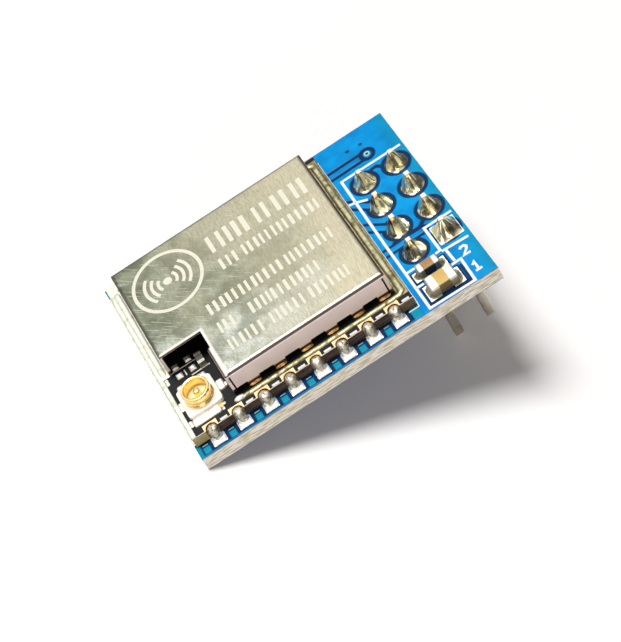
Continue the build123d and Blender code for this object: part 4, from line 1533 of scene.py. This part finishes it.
@dataclass
class RadioBoard(Assembly):
    """The black module board: its pads, its legend and the tinned strip along its left end."""

    ink_thickness: float = 0.02
    pad_half: float = 0.52
    edge_highlight_width: float = 0.07

    def build(self) -> None:
        """Builds and dresses the board."""
        self.shop.dress("module_board", DARK_LAMINATE)
        self.shop.dress("castellation_pads", PAD_GOLD)
        self.shop.piece("module_legend", self.legend(), DULL_INK)
        self.shop.piece("module_tin_strip", self.strips(), MARGIN_TIN)
        self.shop.piece("module_ground_track", [self.track()], TRACK_METAL)
        # The pale line along the top of the sawn edges is a painted highlight.
        self.shop.piece("module_edge_highlight", self.edge_highlights(), EDGE_HIGHLIGHT)
        left_end, right_end = self.bare_ends()
        self.shop.piece("module_bare_end_left", [left_end], BARE_LAMINATE)
        self.shop.piece("module_bare_end_right", [right_end], BROWN_LAMINATE)

    def bare_ends(self) -> list[Surface]:
        """Makes the two ends of the near edge, where the sawn laminate is olive and brown.

        Returns:
            The left end and the right end.
        """
        layout = self.layout
        first, last = layout.notches[[0, -1]]
        runs = [(layout.module_left, first - 0.46), (last + 0.46, layout.module_right)]
        return [
            eased_block(((low + high) / 2, layout.module_near), (high - low, 0.06), (0.08, 0.8), 0.02, 0.02)
            for low, high in runs
        ]

    def edge_highlights(self) -> list[Surface]:
        """Makes the pale line along the top of the near and far edges, between the pads: a painted highlight.

        Returns:
            Its pieces.
        """
        layout = self.layout
        starts = np.concatenate([[layout.module_left], layout.notches + self.pad_half])
        ends = np.concatenate([layout.notches - self.pad_half, [layout.module_right]])
        inset = self.edge_highlight_width / 2 + 0.01
        return [
            ribbon(np.array([(start, y), (end, y)]), self.edge_highlight_width, layout.module_top, 0.014)
            for start, end in zip(starts, ends)
            for y in (layout.module_near + inset, layout.module_far - inset)
        ]

    def legend(self) -> list[Surface]:
        """Makes the dashes between the pads and the short lines in the can's cut-out.

        Returns:
            The dashes and lines.
        """
        top = self.layout.module_top
        drawn = []
        for notch in self.layout.notches:
            dash = np.array([(notch + 0.74, 1.3), (notch + 1.28, 1.3)])
            drawn.append(ribbon(dash, 0.2, top, self.ink_thickness))
        lines = [
            [(1.05, 6.95), (3.0, 6.93)],
            [(2.3, 5.89), (3.72, 5.91)],
            [(2.02, 6.65), (2.03, 6.13)],
        ]
        drawn.extend(ribbon(np.array(line), 0.09, top, self.ink_thickness) for line in lines)
        return drawn

    def strips(self) -> list[Surface]:
        """Makes the tinned ground strip at the left end, and the small tinned lands round the socket.

        Returns:
            The strip's far and near run, and the lands.
        """
        layout = self.layout
        top = layout.module_top
        far_run = layout.can_far - layout.cutout_far - 0.2
        far_middle = (0.6, layout.cutout_far + far_run / 2 + 0.58)
        lands = [
            ((0.63, 6.45), (0.26, 0.6), 0.08),
            ((0.62, 3.96), (0.26, 0.8), 0.08),
            ((0.62, 2.28), (0.26, 0.56), 0.08),
            ((3.12, 2.3), (0.34, 0.24), 0.08),
            ((2.98, 1.94), (0.2, 0.24), 0.06),
        ]
        return [
            eased_block(far_middle, (0.88, far_run + 1.4), (top, top + 0.05), 0.08, 0.1, 0.04, 6),
            eased_block((0.33, 4.05), (0.33, 5.7), (top, top + 0.05), 0.06, 0.08, 0.04, 6),
            *(
                eased_block(middle, size, (top, top + 0.06), corner, corner, 0.05, 6)
                for middle, size, corner in lands
            ),
        ]

    def track(self) -> Surface:
        """Makes the bare ground track at the right and far sides, a flat band that runs under the bead.

        Returns:
            The band.
        """
        layout = self.layout
        path = np.array(
            [
                (layout.can_right + 0.41, layout.can_near - 0.66),
                (layout.can_right + 0.41, layout.can_far + 0.26),
                (layout.can_left - 0.3, layout.can_far + 0.26),
            ]
        )
        return ribbon(path, 0.72, layout.module_top, 0.02)


@dataclass
class ShieldCan(Assembly):
    """The folded can, its laser marks, the bead on the ground track and the fillets at its tabs."""

    bead_radius: float = 0.25
    bead_offsets: tuple[float, float, float, float] = (0.49, 0.42, 0.3, 0.4)
    mark_thickness: float = 0.006
    mark_middle: Pair = (4.25, 12.35)

    def build(self) -> None:
        """Builds and dresses the can."""
        self.shop.dress("shield_can", NICKEL_SILVER)
        self.shop.piece("can_marks", self.marks(), FROSTED_MARK)
        main_run, left_run = self.bead()
        self.shop.piece("can_bead", [main_run], BEAD_SOLDER, ["can_ground_bead"], crease=70)
        self.shop.piece("can_bead_left", [left_run], MARGIN_TIN, crease=70)
        lump = self.mound((self.layout.cutout_right - 0.14, self.layout.can_near - 0.46), (0.42, 0.22), 0.22)
        self.shop.piece("can_bead_lump", [lump], BRIGHT_SOLDER)
        self.shop.piece("can_tab_fillets", self.fillets(), FLUXED_FOOT, ["can_tab_joints"], crease=60)

    def marks(self) -> list[Surface]:
        """Makes a ringed radio-wave mark and rows of plain upright ticks, where such cans are marked.

        Each row is given by its foot, the height of its ticks, and where its runs start and end.

        Returns:
            The marks.
        """
        top = self.layout.can_top - 0.001
        x, y = self.mark_middle
        drawn = [turned((x, y), np.array([(0.32, top), (0.32, top + self.mark_thickness)]), 40)]
        drawn.append(ribbon(arc((x, y), 2.5, 0, 355, 96), 0.27, top, self.mark_thickness, True))
        for radius in (0.7, 1.2, 1.7):
            for start in (-42, 138):
                path = arc((x, y), radius, start, start + 84, 40)
                drawn.append(ribbon(path, 0.25, top, self.mark_thickness))
        rows = [
            (12.2, 1.6, (7.8, 11.0, 11.5, 12.5, 13.0, 15.4)),
            (10.4, 1.05, (7.8, 9.2, 9.6, 15.3)),
            (7.5, 1.05, (5.5, 7.5, 8.0, 11.2, 11.6, 15.2)),
            (5.65, 1.05, (5.5, 6.9, 7.9, 13.0)),
            (3.9, 1.05, (5.5, 8.2, 8.7, 11.2, 11.7, 14.8)),
        ]
        chance = np.random.default_rng(12)
        for foot, height, ends in rows:
            for left, right in zip(ends[::2], ends[1::2]):
                at = left
                while at < right:
                    width = 0.2 * height + chance.uniform(-0.03, 0.05)
                    middle = (at + width / 2, foot + height / 2)
                    drawn.append(eased_block(middle, (width, height), (top, top + self.mark_thickness), 0.07))
                    at += width + chance.uniform(0.17, 0.3) * height
        return drawn

    def bead(self) -> tuple[Surface, Surface]:
        """Makes the bead: one run round three sides, and a shorter one up the left side.

        Returns:
            The long run and the short one.
        """
        layout = self.layout
        near, right, far, left = self.bead_offsets
        low, high = layout.can_near - near, layout.can_far + far
        end, start = layout.can_right + right, layout.can_left - left
        turned_run = np.array(
            [
                (layout.cutout_right - 0.22, low),
                (end - 0.2, low),
                (end, low + 0.2),
                (end, high - 0.2),
                (end - 0.2, high),
                (start + 0.2, high),
            ]
        )
        left_run = np.array([(start, high - 0.1), (start, layout.cutout_far + 0.05)])
        return self.poured(turned_run, 3), self.poured(left_run, 5)

    def poured(self, corners_of_path: Array, seed: int) -> Surface:
        """Carries a half round along a path, its radius drifting as poured solder's does.

        Args:
            corners_of_path: X and Y of the path's corners.
            seed: picks the drift.

        Returns:
            The closed surface.
        """
        path = resampled(corners_of_path, 0.12)
        sideways, distance = path_frames(path)
        drift = 0.05 * wobble(distance, seed, 5.3) + 0.015 * wobble(distance, seed + 5, 1.4)
        radius = self.bead_radius * (1 + drift)
        radius *= np.where(path[:, 1] < self.layout.can_near - 0.4, 0.78, 1.0)
        radius *= np.clip(np.minimum(distance, distance[-1] - distance) / 0.2, 0.05, 1) ** 0.5
        turn = np.linspace(0, np.pi, 9)
        across = np.cos(turn)[None, :] * radius[:, None]
        rise_here = (radius * (0.6 + 0.03 * wobble(distance, seed + 1, 1.7)))[:, None]
        return Surface.shell(
            path[:, :1] + across * sideways[:, :1],
            path[:, 1:] + across * sideways[:, 1:],
            self.layout.module_top + np.sin(turn)[None, :] * rise_here,
        )

    def mound(self, middle: Pair, reach: Pair, height: float) -> Surface:
        """Makes a low mound of solder: a half ellipsoid on the board.

        Args:
            middle: X and Y of its middle.
            reach: its half sizes.
            height: how far it stands up.

        Returns:
            The closed surface.
        """
        rows = np.linspace(0, np.pi / 2 - 0.05, 9)[:, None]
        turn = np.linspace(0, 2 * np.pi, 28, endpoint=False)
        return Surface.shell(
            middle[0] + reach[0] * np.cos(rows) * np.cos(turn),
            middle[1] + reach[1] * np.cos(rows) * np.sin(turn),
            self.layout.module_top + height * np.sin(rows),
        )

    def fillets(self) -> list[Surface]:
        """Makes a hollow fillet at the foot of each near tab.

        Returns:
            The fillets.
        """
        layout = self.layout
        return [
            solder_fillet((x, layout.can_near), (0.0, -1.0), 0.46, 0.15, layout.module_top, 0.13)
            for x in layout.notches
            if x > layout.cutout_right + 0.5
        ]


def solder_fillet(
    foot: Pair, outward: Pair, half_width: float, reach: float, level: float, height: float
) -> Surface:
    """Makes solder that climbs a wall in a hollow curve.

    Across its width the reach and the height fall off as one minus the fourth power of the share of the
    width. Outwards the height falls as a power of 2.2.

    Args:
        foot: middle of the line where the wall meets the land.
        outward: unit direction away from the wall.
        half_width: half its width.
        reach: how far out it runs.
        level: height of the land.
        height: how high it climbs.

    Returns:
        The closed surface.
    """
    share = np.linspace(-1, 1, 15)
    full = (1 - share**4 * 0.96)[:, None]
    out = np.linspace(0, 1, 9)
    ring_out = np.concatenate([out, [0.0]])[None, :] * reach * full
    ring_up = np.concatenate([(1 - out) ** 2.2, [0.0]])[None, :] * height * full
    side = share[:, None] * half_width
    return Surface.shell(
        foot[0] + outward[0] * (ring_out - 0.01) - outward[1] * side,
        foot[1] + outward[1] * (ring_out - 0.01) + outward[0] * side,
        level + ring_up,
    )


@dataclass
class AntennaSocket(Assembly):
    """The miniature coaxial socket: a white base, a gold barrel, its contact and the solder at its tabs."""

    middle: Pair = (2.05, 3.77)
    base_side: float = 2.6
    base_height: float = 0.35
    foot_radius: float = 1.06
    neck_radius: float = 0.88
    rim_radius: float = 1.0
    bore_radius: float = 0.8
    lip_radius: float = 0.05
    rim_top: float = 0.86
    pin_radius: float = 0.25
    pin_height: float = 0.62
    pin_dome: float = 0.14
    floor_radius: float = 0.79

    def build(self) -> None:
        """Builds and dresses the socket."""
        self.shop.piece("socket_barrel", [self.barrel()], BRIGHT_GOLD, ["socket_shell"], crease=75)
        self.shop.piece("socket_contact", [self.contact()], BRIGHT_GOLD, ["socket_pin"], crease=50)
        base, floor = self.moulding()
        self.shop.piece("socket_moulding", [base], WHITE_POLYMER, ["socket_base"])
        # The floor inside the barrel is painted cream as reflected light from the gold barrel.
        self.shop.piece("socket_floor", [floor], GOLD_LIT_POLYMER)
        self.shop.piece("socket_fillets", self.fillets(), BRIGHT_SOLDER, ["socket_solder"])
        self.shop.dress("socket_tabs", BRIGHT_GOLD)

    @property
    def base_top(self) -> float:
        """Height of the base's upper face."""
        return self.layout.module_top + self.base_height

    def barrel(self) -> Surface:
        """Turns the barrel: a foot, a tapered neck, and a rim whose lips are rounded.

        Returns:
            The closed surface.
        """
        lip = self.lip_radius
        across, up = lip * np.cos(np.linspace(0, np.pi / 2, 5)), lip * np.sin(np.linspace(0, np.pi / 2, 5))
        outer = np.stack([self.rim_radius - lip + across, self.rim_top - lip + up], axis=-1)
        inner = np.stack([self.bore_radius + lip - up, self.rim_top - lip + across], axis=-1)
        lower = np.array(
            [
                (self.bore_radius, 0.0),
                (self.foot_radius - 0.02, 0.0),
                (self.foot_radius, 0.02),
                (self.foot_radius, 0.05),
                (self.foot_radius - 0.04, 0.09),
                (self.foot_radius - 0.1, 0.14),
                (self.neck_radius + 0.04, 0.22),
                (self.rim_radius - 0.03, 0.33),
                (self.rim_radius, 0.38),
            ]
        )
        profile = np.vstack([lower, outer, inner[1:]])
        profile[:, 1] += self.base_top
        return turned(self.middle, profile, 96, True)

    def contact(self) -> Surface:
        """Turns the contact pin, with a domed tip.

        Returns:
            The closed surface.
        """
        turn = np.linspace(0, np.pi / 2 - 0.08, 7)
        rise_here = self.pin_height + self.pin_dome * (np.sin(turn) - 1)
        tip = np.stack([self.pin_radius * np.cos(turn), rise_here], axis=-1)
        profile = np.vstack([[(self.pin_radius, 0.0)], tip])
        profile[:, 1] += self.base_top
        return turned(self.middle, profile, 48)

    def moulding(self) -> tuple[Surface, Surface]:
        """Makes the base, and the floor inside the barrel.

        Returns:
            The base and the floor.
        """
        top = self.base_top
        base = eased_block(self.middle, (self.base_side,) * 2, (self.layout.module_top, top), 0.28, 0.05)
        wall = np.array([(self.floor_radius, top - 0.02), (self.floor_radius, top + 0.05)])
        return base, turned(self.middle, wall, 64)

    def fillets(self) -> list[Surface]:
        """Makes the solder at the near and far ground tabs and at the signal tab.

        Returns:
            The solder.
        """
        x, y = self.middle
        half, top = self.base_side / 2, self.layout.module_top
        return [
            eased_block((x - 0.24, y - half - 0.34), (2.1, 0.68), (top, top + 0.18), 0.14, 0.16, 0.12, 7),
            eased_block((x, y + half + 0.26), (2.2, 0.52), (top, top + 0.2), 0.18, 0.2, 0.16, 7),
            eased_block((x + half + 0.26, y), (0.52, 0.9), (top, top + 0.2), 0.14, 0.16, 0.14, 7),
            eased_block((x + half + 0.5, y - 0.14), (0.44, 0.4), (top, top + 0.12), 0.16, 0.14, 0.1, 7),
        ]


@dataclass
class CastellationJoints(Assembly):
    """The solder in the module board's notches, and the tin that spreads over each land."""

    notch_radius: float = 0.42
    dome_radius: float = 0.37
    waist: float = 0.16
    shoulder: float = 0.74
    crown: float = 0.17
    land_width: float = 0.96

    def build(self) -> None:
        """Builds the joints of both edges."""
        for edge, node in ((Edge.NEAR, "solder_joints_near"), (Edge.FAR, "solder_joints_far")):
            plugs, pools = [], []
            for i, notch in enumerate(self.layout.notches):
                plugs.append(self.plug(float(notch), edge, 11 * i + edge.value + 5))
                pools.extend(self.pool(float(notch), edge, 7 * i + edge.value + 3))
            name = f"castellation_{edge.name.lower()}"
            self.shop.piece(f"{name}_plugs", plugs, REFLOWED_SOLDER, [node], crease=70)
            self.shop.piece(f"{name}_pools", pools, BRIGHT_SOLDER, crease=70)

    def plug(self, notch: float, edge: Edge, seed: int) -> Surface:
        """Makes the solder in one notch.

        Its rings are circles that fill the notch. On the outer side they stand out further, most at the foot,
        as the square of the share of the height that is left. The top closes as a dome.

        Args:
            notch: X of the notch.
            edge: which edge it is in.
            seed: picks its unevenness.

        Returns:
            The closed surface.
        """
        layout = self.layout
        spread, tall, lean = np.random.default_rng(seed).uniform(-1, 1, 3)
        turn = np.linspace(0, 2 * np.pi, 32, endpoint=False)
        wall = np.linspace(0, 1, 9)[:-1]
        dome = np.linspace(0, np.pi / 2 - 0.08, 9)
        outward = np.clip(np.sin(turn), 0, 1) ** 1.2
        flare = 0.02 + (0.08 + 0.03 * spread) * (1 - wall[:, None]) ** 2
        low_rings = self.notch_radius + 0.01 + flare * outward
        top_ring = self.dome_radius + 0.04 * outward
        high_rings = top_ring * np.cos(dome)[:, None] ** 0.8
        radius = np.vstack([low_rings, high_rings]) * (1 + 0.03 * wobble(turn, seed, 2 * np.pi))
        crown = self.crown * (1 + 0.25 * tall)
        height = layout.foil + np.concatenate([wall * self.shoulder, self.shoulder + crown * np.sin(dome)])
        middle_y = layout.module_near if edge is Edge.NEAR else layout.module_far
        narrowed = 1 - self.waist * np.clip(4 * np.sin(turn), 0, 1)
        x = notch + radius * np.cos(turn) * narrowed
        y = middle_y + edge.value * radius * np.sin(turn)
        tilt = 0.05 * lean * np.cos(turn)
        return Surface.shell(x, y, height[:, None] + tilt * (height[:, None] / height[-1]) ** 4)

    def pool(self, notch: float, edge: Edge, seed: int) -> list[Surface]:
        """Makes the bright solder on one land: a low pillow, and a fillet that climbs the plug.

        Args:
            notch: X of the notch.
            edge: which edge it is in.
            seed: picks its unevenness.

        Returns:
            The pillow and the fillet.
        """
        layout = self.layout
        tall, wide = np.random.default_rng(seed).uniform(-1, 1, 2)
        near = edge is Edge.NEAR
        wall = layout.module_near if near else layout.module_far
        outer = 0.27 if near else layout.carrier_depth - 0.27
        inner = wall - 0.05 * edge.value
        size = (self.land_width, abs(inner - outer))
        levels = (layout.foil, layout.foil + 0.08)
        pillow = eased_block((notch, (outer + inner) / 2), size, levels, 0.16, 0.16, 0.07, 6)
        foot = (notch, wall + edge.value * 0.32)
        reach = 0.38 if near else 0.14
        half, climb = 0.44 + 0.02 * wide, 0.5 + 0.06 * tall
        return [pillow, solder_fillet(foot, (0.0, float(edge.value)), half, reach, layout.foil + 0.02, climb)]


@dataclass
class PinHeader(Assembly):
    """The pin header: its moulded strip, its square pins and the cone of solder round each pin."""

    base_radius: float = 0.84
    square_half: float = 0.88
    pin_half: float = 0.32
    pin_bevel: float = 0.13
    pin_above: float = 1.36
    tip_half: float = 0.17
    cone_height: float = 1.26
    ridges: int = 6
    sag: float = 0.2

    def build(self) -> None:
        """Builds and dresses the header."""
        self.shop.dress("header_housing", BLACK_NYLON)
        wires = [self.wire(pin) for pin in self.layout.pins]
        self.shop.piece("header_pin_wires", wires, PIN_GOLD, ["header_pins"])
        cones = [self.cone(pin, 7 + i) for i, pin in enumerate(self.layout.pins)]
        self.shop.piece("header_cones", cones, HAND_SOLDER, ["header_solder"], crease=24)
        # Partly painted highlight: bright tin laid only at each cone's near-left foot, where the land catches
        # the light.
        feet = [self.foot(pin) for pin in self.layout.pins if pin != self.layout.first_pin]
        self.shop.piece("header_cone_tin_glints", feet, BRIGHT_SOLDER)

    def wire(self, pin: Pair) -> Surface:
        """Makes one square pin: bevelled at its lower end, and drawn to a blunt point at its upper end.

        Args:
            pin: X and Y of the pin.

        Returns:
            The closed surface.
        """
        low = float(self.shop.extent("header_pins")[0][2])
        full = self.pin_half
        level = np.array([low, low + self.pin_bevel, 0.3, 1.0, 1.28, 1.33, self.pin_above])
        half = np.array([full - self.pin_bevel, full, full, 0.2, 0.172, 0.168, 0.16])
        rings = rounded_rings(half, half, 0.12 * half)
        return Surface.shell(pin[0] + rings[..., 0], pin[1] + rings[..., 1], level[:, None])

    def foot(self, pin: Pair) -> Surface:
        """Makes a crescent of bright tin at a cone's near-left foot: bare tin, laid only there as a painted
        highlight.

        Args:
            pin: X and Y of the pin.

        Returns:
            The closed surface.
        """
        turn = np.radians(np.linspace(228, 262, 12))[:, None]
        share = np.linspace(-1, 1, 12)
        around = np.linspace(0, np.pi, 7)
        thick = 0.11 * np.sqrt(np.clip(1 - share**2 * 0.97, 0, 1))[:, None]
        radius = self.base_radius + 0.02 + np.cos(around)[None, :] * thick
        height = self.layout.foil + np.sin(around)[None, :] * thick * 0.8
        return Surface.shell(pin[0] + radius * np.cos(turn), pin[1] + radius * np.sin(turn), height)

    def outline(self, turn: Array, half: float, power: float) -> Array:
        """Gives the radius of a rounded square: a superellipse of that power."""
        return half / (np.abs(np.cos(turn)) ** power + np.abs(np.sin(turn)) ** power) ** (1 / power)

    def cone(self, pin: Pair, seed: int) -> Surface:
        """Makes one cone of solder.

        Its outline passes from its land's shape to the pin's square, nearly straight, its width falling as a
        power of about 1 of the height that is left. Between uneven ridges the skin sags in as a half sine, as
        a tent does between its poles.

        Args:
            pin: X and Y of the pin.
            seed: picks where the ridges are.

        Returns:
            The closed surface.
        """
        chance = np.random.default_rng(seed)
        gaps = chance.uniform(0.6, 1.4, self.ridges)
        poles = np.concatenate([[0.0], np.cumsum(gaps)]) / gaps.sum() * 2 * np.pi
        turn = np.linspace(0, 2 * np.pi, 72, endpoint=False)
        bay = np.searchsorted(poles, turn, side="right") - 1
        share = (turn - poles[bay]) / (poles[bay + 1] - poles[bay])
        depth = chance.uniform(0.5, 1.3, self.ridges)[bay]
        climb = np.linspace(0, 1, 15)[:, None]
        square = self.outline(turn, self.tip_half, 6.0)
        on_square = pin == self.layout.first_pin
        land = self.outline(turn, self.square_half, 8.0) if on_square else self.base_radius + 0 * turn
        radius = square + (land - square) * (1 - climb) ** chance.uniform(0.85, 1.1)
        radius = radius * (1 - self.sag * depth * np.sin(np.pi * share) * np.sin(np.pi * climb**0.8) ** 0.7)
        top = self.cone_height * (1 + chance.uniform(-0.03, 0.03))
        height = self.layout.foil + climb * top
        return Surface.shell(pin[0] + radius * np.cos(turn), pin[1] + radius * np.sin(turn), height)


@dataclass(frozen=True)
class Chip:
    """One chip capacitor.

    Attributes:
        middle: X and Y of its middle.
        length: along X.
        width: along Y.
        height: above its land.
        end: length of a metallised end.
        overhang: how far its land reaches past its end.
        land_width: its land's width.
    """

    middle: Pair
    length: float
    width: float
    height: float
    end: float
    overhang: float
    land_width: float


@dataclass
class ChipCapacitors(Assembly):
    """The two chip capacitors on the carrier board."""

    chips: tuple[Chip, Chip] = (
        Chip((19.34, 1.25), 2.0, 1.25, 0.9, 0.6, 0.34, 1.42),
        Chip((19.16, 2.98), 1.6, 0.78, 0.75, 0.4, 0.42, 0.84),
    )

    def build(self) -> None:
        """Builds and dresses the capacitors."""
        bodies, ends, joints = [], [], []
        for chip in self.chips:
            x, y = chip.middle
            foot = self.layout.foil
            size = (chip.length - 0.2, chip.width - 0.06)
            bodies.append(eased_block((x, y), size, (foot + 0.02, foot + chip.height - 0.03), 0.08, 0.06))
            half, reach, climb = chip.land_width / 2 - 0.03, chip.overhang - 0.02, 0.66 * chip.height
            for side in (-1, 1):
                ends.append(self.cap(chip, side))
                end = (x + side * chip.length / 2, y)
                joints.append(solder_fillet(end, (float(side), 0.0), half, reach, foot, climb))
        self.shop.piece("large_capacitor_core", bodies[:1], TAN_CERAMIC, ["large_capacitor_body"])
        self.shop.piece("small_capacitor_core", bodies[1:], BROWN_CERAMIC, ["small_capacitor_body"])
        self.shop.piece("capacitor_caps", ends, PLATED_TIN, ["large_capacitor_ends", "small_capacitor_ends"])
        self.shop.piece("capacitor_fillets", joints, CHIP_SOLDER, ["capacitor_solder"])

    def cap(self, chip: Chip, side: int) -> Surface:
        """Makes one metallised end: rings along X whose corners are rounded and whose outer rim is eased.

        Args:
            chip: the capacitor.
            side: 1 for its right end, -1 for its left one.

        Returns:
            The closed surface.
        """
        ease = 0.12
        turn = np.linspace(0, np.pi / 2, 7)
        inset = np.concatenate([[0.03, 0.0], ease * (1 - np.cos(turn))])
        out = np.concatenate([[0.0, 0.03], chip.end - ease + ease * np.sin(turn)])
        rings = rounded_rings(chip.width / 2 - inset, chip.height / 2 - inset, np.maximum(0.13 - inset, 0.03))
        x = chip.middle[0] + side * (chip.length / 2 - chip.end + out)
        level = self.layout.foil + chip.height / 2
        return Surface.shell(x[:, None], chip.middle[1] + rings[..., 0], level + rings[..., 1])


@dataclass
class InnerParts(Assembly):
    """What stands under the can and shows through its cut-out or its tab gaps."""

    def build(self) -> None:
        """Dresses the inner pieces."""
        finishes = {
            "inner_capacitor_bodies": GREY_CERAMIC,
            "inner_capacitor_ends": INNER_TIN,
            "bare_lands": LEVELLED_TIN,
            "transceiver_body": BLACK_EPOXY,
            "transceiver_leads": TINNED_LEAD,
            "crystal_base": GREY_CERAMIC,
            "crystal_lid": LID_METAL,
            "antenna_switch_body": BLACK_EPOXY,
            "antenna_switch_leads": TINNED_LEAD,
        }
        for node, finish in finishes.items():
            self.shop.dress(node, finish)


@dataclass
class Studio:
    """A white floor, a soft lamp from behind on the left, a low warm card, and the photograph's camera.

    Attributes:
        eye: the camera's place, in board millimetres.
        right: the picture's right, in the board's frame.
        down: the picture's down.
        forward: the way the camera looks.
        focal_pixels: focal length in pixels of a picture as wide as picture_width.
        lamp_direction: towards the lamp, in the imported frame.
        lamp_distance: in metres.
        lamp_size: in metres.
        lamp_power: in watts.
        card_direction: towards the low card that brightens the near side.
        card_size: in metres.
        card_power: what the card gives back, in watts.
        card_tint: colour of its light.
        floor_half: half the floor's side, in metres.
        floor_colour: colour of its paper.
        floor_glow: what it adds of its own light, to the camera alone.
        ambient: how bright the rest of the room is.
        fill_tint: colour of the room's light on matt faces.
        mirrored: how bright the room is in metal, away from the lamp and towards it.
        mirrored_cone: cosines of the angles from the lamp where that brightness starts to rise and is full.
    """

    pose: BoardPose
    eye: Triple = (9.235, -98.562, 117.006)
    right: Triple = (0.83796675, -0.4142244, -0.35528844)
    down: Triple = (-0.54563137, -0.62412727, -0.55924195)
    forward: Triple = (0.00990646, 0.66248268, -0.74901172)
    focal_pixels: float = 2371.255
    picture_width: float = 621.0
    lamp_direction: Triple = (-4.6, 1.9, 10.35)
    lamp_distance: float = 1.2
    lamp_size: float = 0.5
    lamp_power: float = 14.2
    card_direction: Triple = (-0.35, -0.9, 0.17)
    card_size: float = 0.9
    card_power: float = 4.6
    card_tint: str = "ffeee6"
    floor_half: float = 0.3
    floor_colour: str = "f8f7f6"
    floor_glow: float = 0.1
    ambient: float = 0.105
    fill_tint: str = "fff3ea"
    mirrored: Pair = (0.1, 1.2)
    mirrored_cone: Pair = (0.35, 0.97)

    def build(self) -> None:
        """Builds the studio."""
        bpy.context.scene.view_settings.view_transform = "Standard"
        self.build_floor()
        self.build_world()
        self.build_lamp("soft_lamp", self.lamp_direction, self.lamp_size, self.lamp_power, "ffffff")
        self.build_lamp("low_card", self.card_direction, self.card_size, self.card_power, self.card_tint)
        self.build_camera()

    def build_floor(self) -> None:
        """Lays a white floor that shows pure white where no shadow falls."""
        mesh = bpy.data.meshes.new("studio_floor")
        half = self.floor_half
        square = [(-half, -half, 0), (half, -half, 0), (half, half, 0), (-half, half, 0)]
        mesh.from_pydata(square, [], [(0, 1, 2, 3)])
        floor = bpy.data.objects.new("studio_floor", mesh)
        bpy.context.scene.collection.objects.link(floor)
        material = bpy.data.materials.new("white_paper")
        material.use_nodes = True
        tree = material.node_tree
        tree.nodes.clear()
        add = partial(add_node, tree)
        seen = add("ShaderNodeLightPath", output="Is Camera Ray")
        paper = add("ShaderNodeBsdfDiffuse", {"Color": self.floor_colour})
        glow = add("ShaderNodeMath", {0: seen, 1: self.floor_glow}, operation="MULTIPLY")
        light = add("ShaderNodeEmission", {"Strength": glow})
        both = add("ShaderNodeAddShader", {0: paper, 1: light})
        add("ShaderNodeOutputMaterial", {"Surface": both})
        mesh.materials.append(material)
        floor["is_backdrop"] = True

    def build_world(self) -> None:
        """Makes the room: white to the camera, a soft bright side in metal, and a low fill elsewhere."""
        world = bpy.data.worlds.new("studio_room")
        bpy.context.scene.world = world
        world.use_nodes = True
        tree = world.node_tree
        tree.nodes.clear()
        add = partial(add_node, tree)
        camera = add("ShaderNodeLightPath", output="Is Camera Ray")
        glossy = add("ShaderNodeLightPath", output="Is Glossy Ray")
        through = add("ShaderNodeLightPath", output="Is Transmission Ray")
        direction = np.array(self.lamp_direction) / np.linalg.norm(self.lamp_direction)
        way = add("ShaderNodeTexCoord", output="Generated")
        facing = add("ShaderNodeVectorMath", {0: way, 1: direction}, "Value", operation="DOT_PRODUCT")
        (start, full), (least, most) = self.mirrored_cone, self.mirrored
        bright = add(
            "ShaderNodeMapRange",
            {"Value": facing, "From Min": start, "From Max": full, "To Min": least, "To Max": most},
        )
        seen = add("ShaderNodeMath", {0: camera, 1: through}, operation="MAXIMUM")
        level = add("ShaderNodeMix", {0: glossy, 2: self.ambient, 3: bright}, 0, data_type="FLOAT")
        strength = add("ShaderNodeMix", {0: seen, 2: level, 3: 1.0}, 0, data_type="FLOAT")
        plain = add("ShaderNodeMath", {0: seen, 1: glossy}, operation="MAXIMUM")
        tints = {0: plain, 6: self.fill_tint, 7: "ffffff"}
        tint = add("ShaderNodeMix", tints, 2, data_type="RGBA")
        room = add("ShaderNodeBackground", {"Color": tint, "Strength": strength})
        add("ShaderNodeOutputWorld", {"Surface": room})

    def build_lamp(self, name: str, towards: Sequence[float], size: float, power: float, tint: str) -> None:
        """Hangs a round lamp that faces the part.

        Args:
            name: the lamp's name.
            towards: the way to it from the part.
            size: its diameter in metres.
            power: in watts.
            tint: colour of its light.
        """
        direction = np.array(towards) / np.linalg.norm(towards)
        data = bpy.data.lights.new(name, "AREA")
        data.shape = "DISK"
        data.size = size
        data.energy = power
        data.color = hex_to_linear(tint)[:3]
        lamp = bpy.data.objects.new(name, data)
        side = np.cross((0.0, 1.0, 0.0), direction)
        side /= np.linalg.norm(side)
        turn = np.eye(4)
        turn[:3, :3] = np.stack([side, np.cross(direction, side), direction], axis=1)
        turn[:3, 3] = direction * self.lamp_distance
        lamp.matrix_world = Matrix(turn.tolist())
        bpy.context.scene.collection.objects.link(lamp)

    def build_camera(self) -> None:
        """Puts the camera where the photograph was taken from."""
        axes = np.array([self.right, [-v for v in self.down], [-v for v in self.forward]]) @ self.pose.turn
        turn = np.eye(4)
        turn[:3, :3] = axes.T
        turn[:3, 3] = self.pose.place(np.array(self.eye))
        data = bpy.data.cameras.new("photo_camera")
        data.sensor_fit = "HORIZONTAL"
        data.sensor_width = 36.0
        data.lens = self.focal_pixels / self.picture_width * data.sensor_width
        data.clip_start = 0.005
        camera = bpy.data.objects.new("photo_camera", data)
        camera.matrix_world = Matrix(turn.tolist())
        bpy.context.scene.collection.objects.link(camera)
        bpy.context.scene.camera = camera


def corners() -> list[list[float]]:
    """Gives the shown object's lowest and highest corner as plain lists."""
    return [[float(value) for value in corner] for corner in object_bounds()]


def main() -> None:
    """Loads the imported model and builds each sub-assembly in order."""
    logging.basicConfig(level=logging.INFO, format="%(name)s %(message)s")
    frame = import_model()
    shop = Workshop(frame, BoardPose.from_frame(frame))
    layout = Layout()
    Studio(shop.pose).build()
    on_module = (RadioBoard, ShieldCan, AntennaSocket, CastellationJoints)
    for assembly in (CarrierBoard, *on_module, PinHeader, ChipCapacitors, InnerParts):
        assembly(shop, layout).build()


if __name__ == "__main__":
    main()
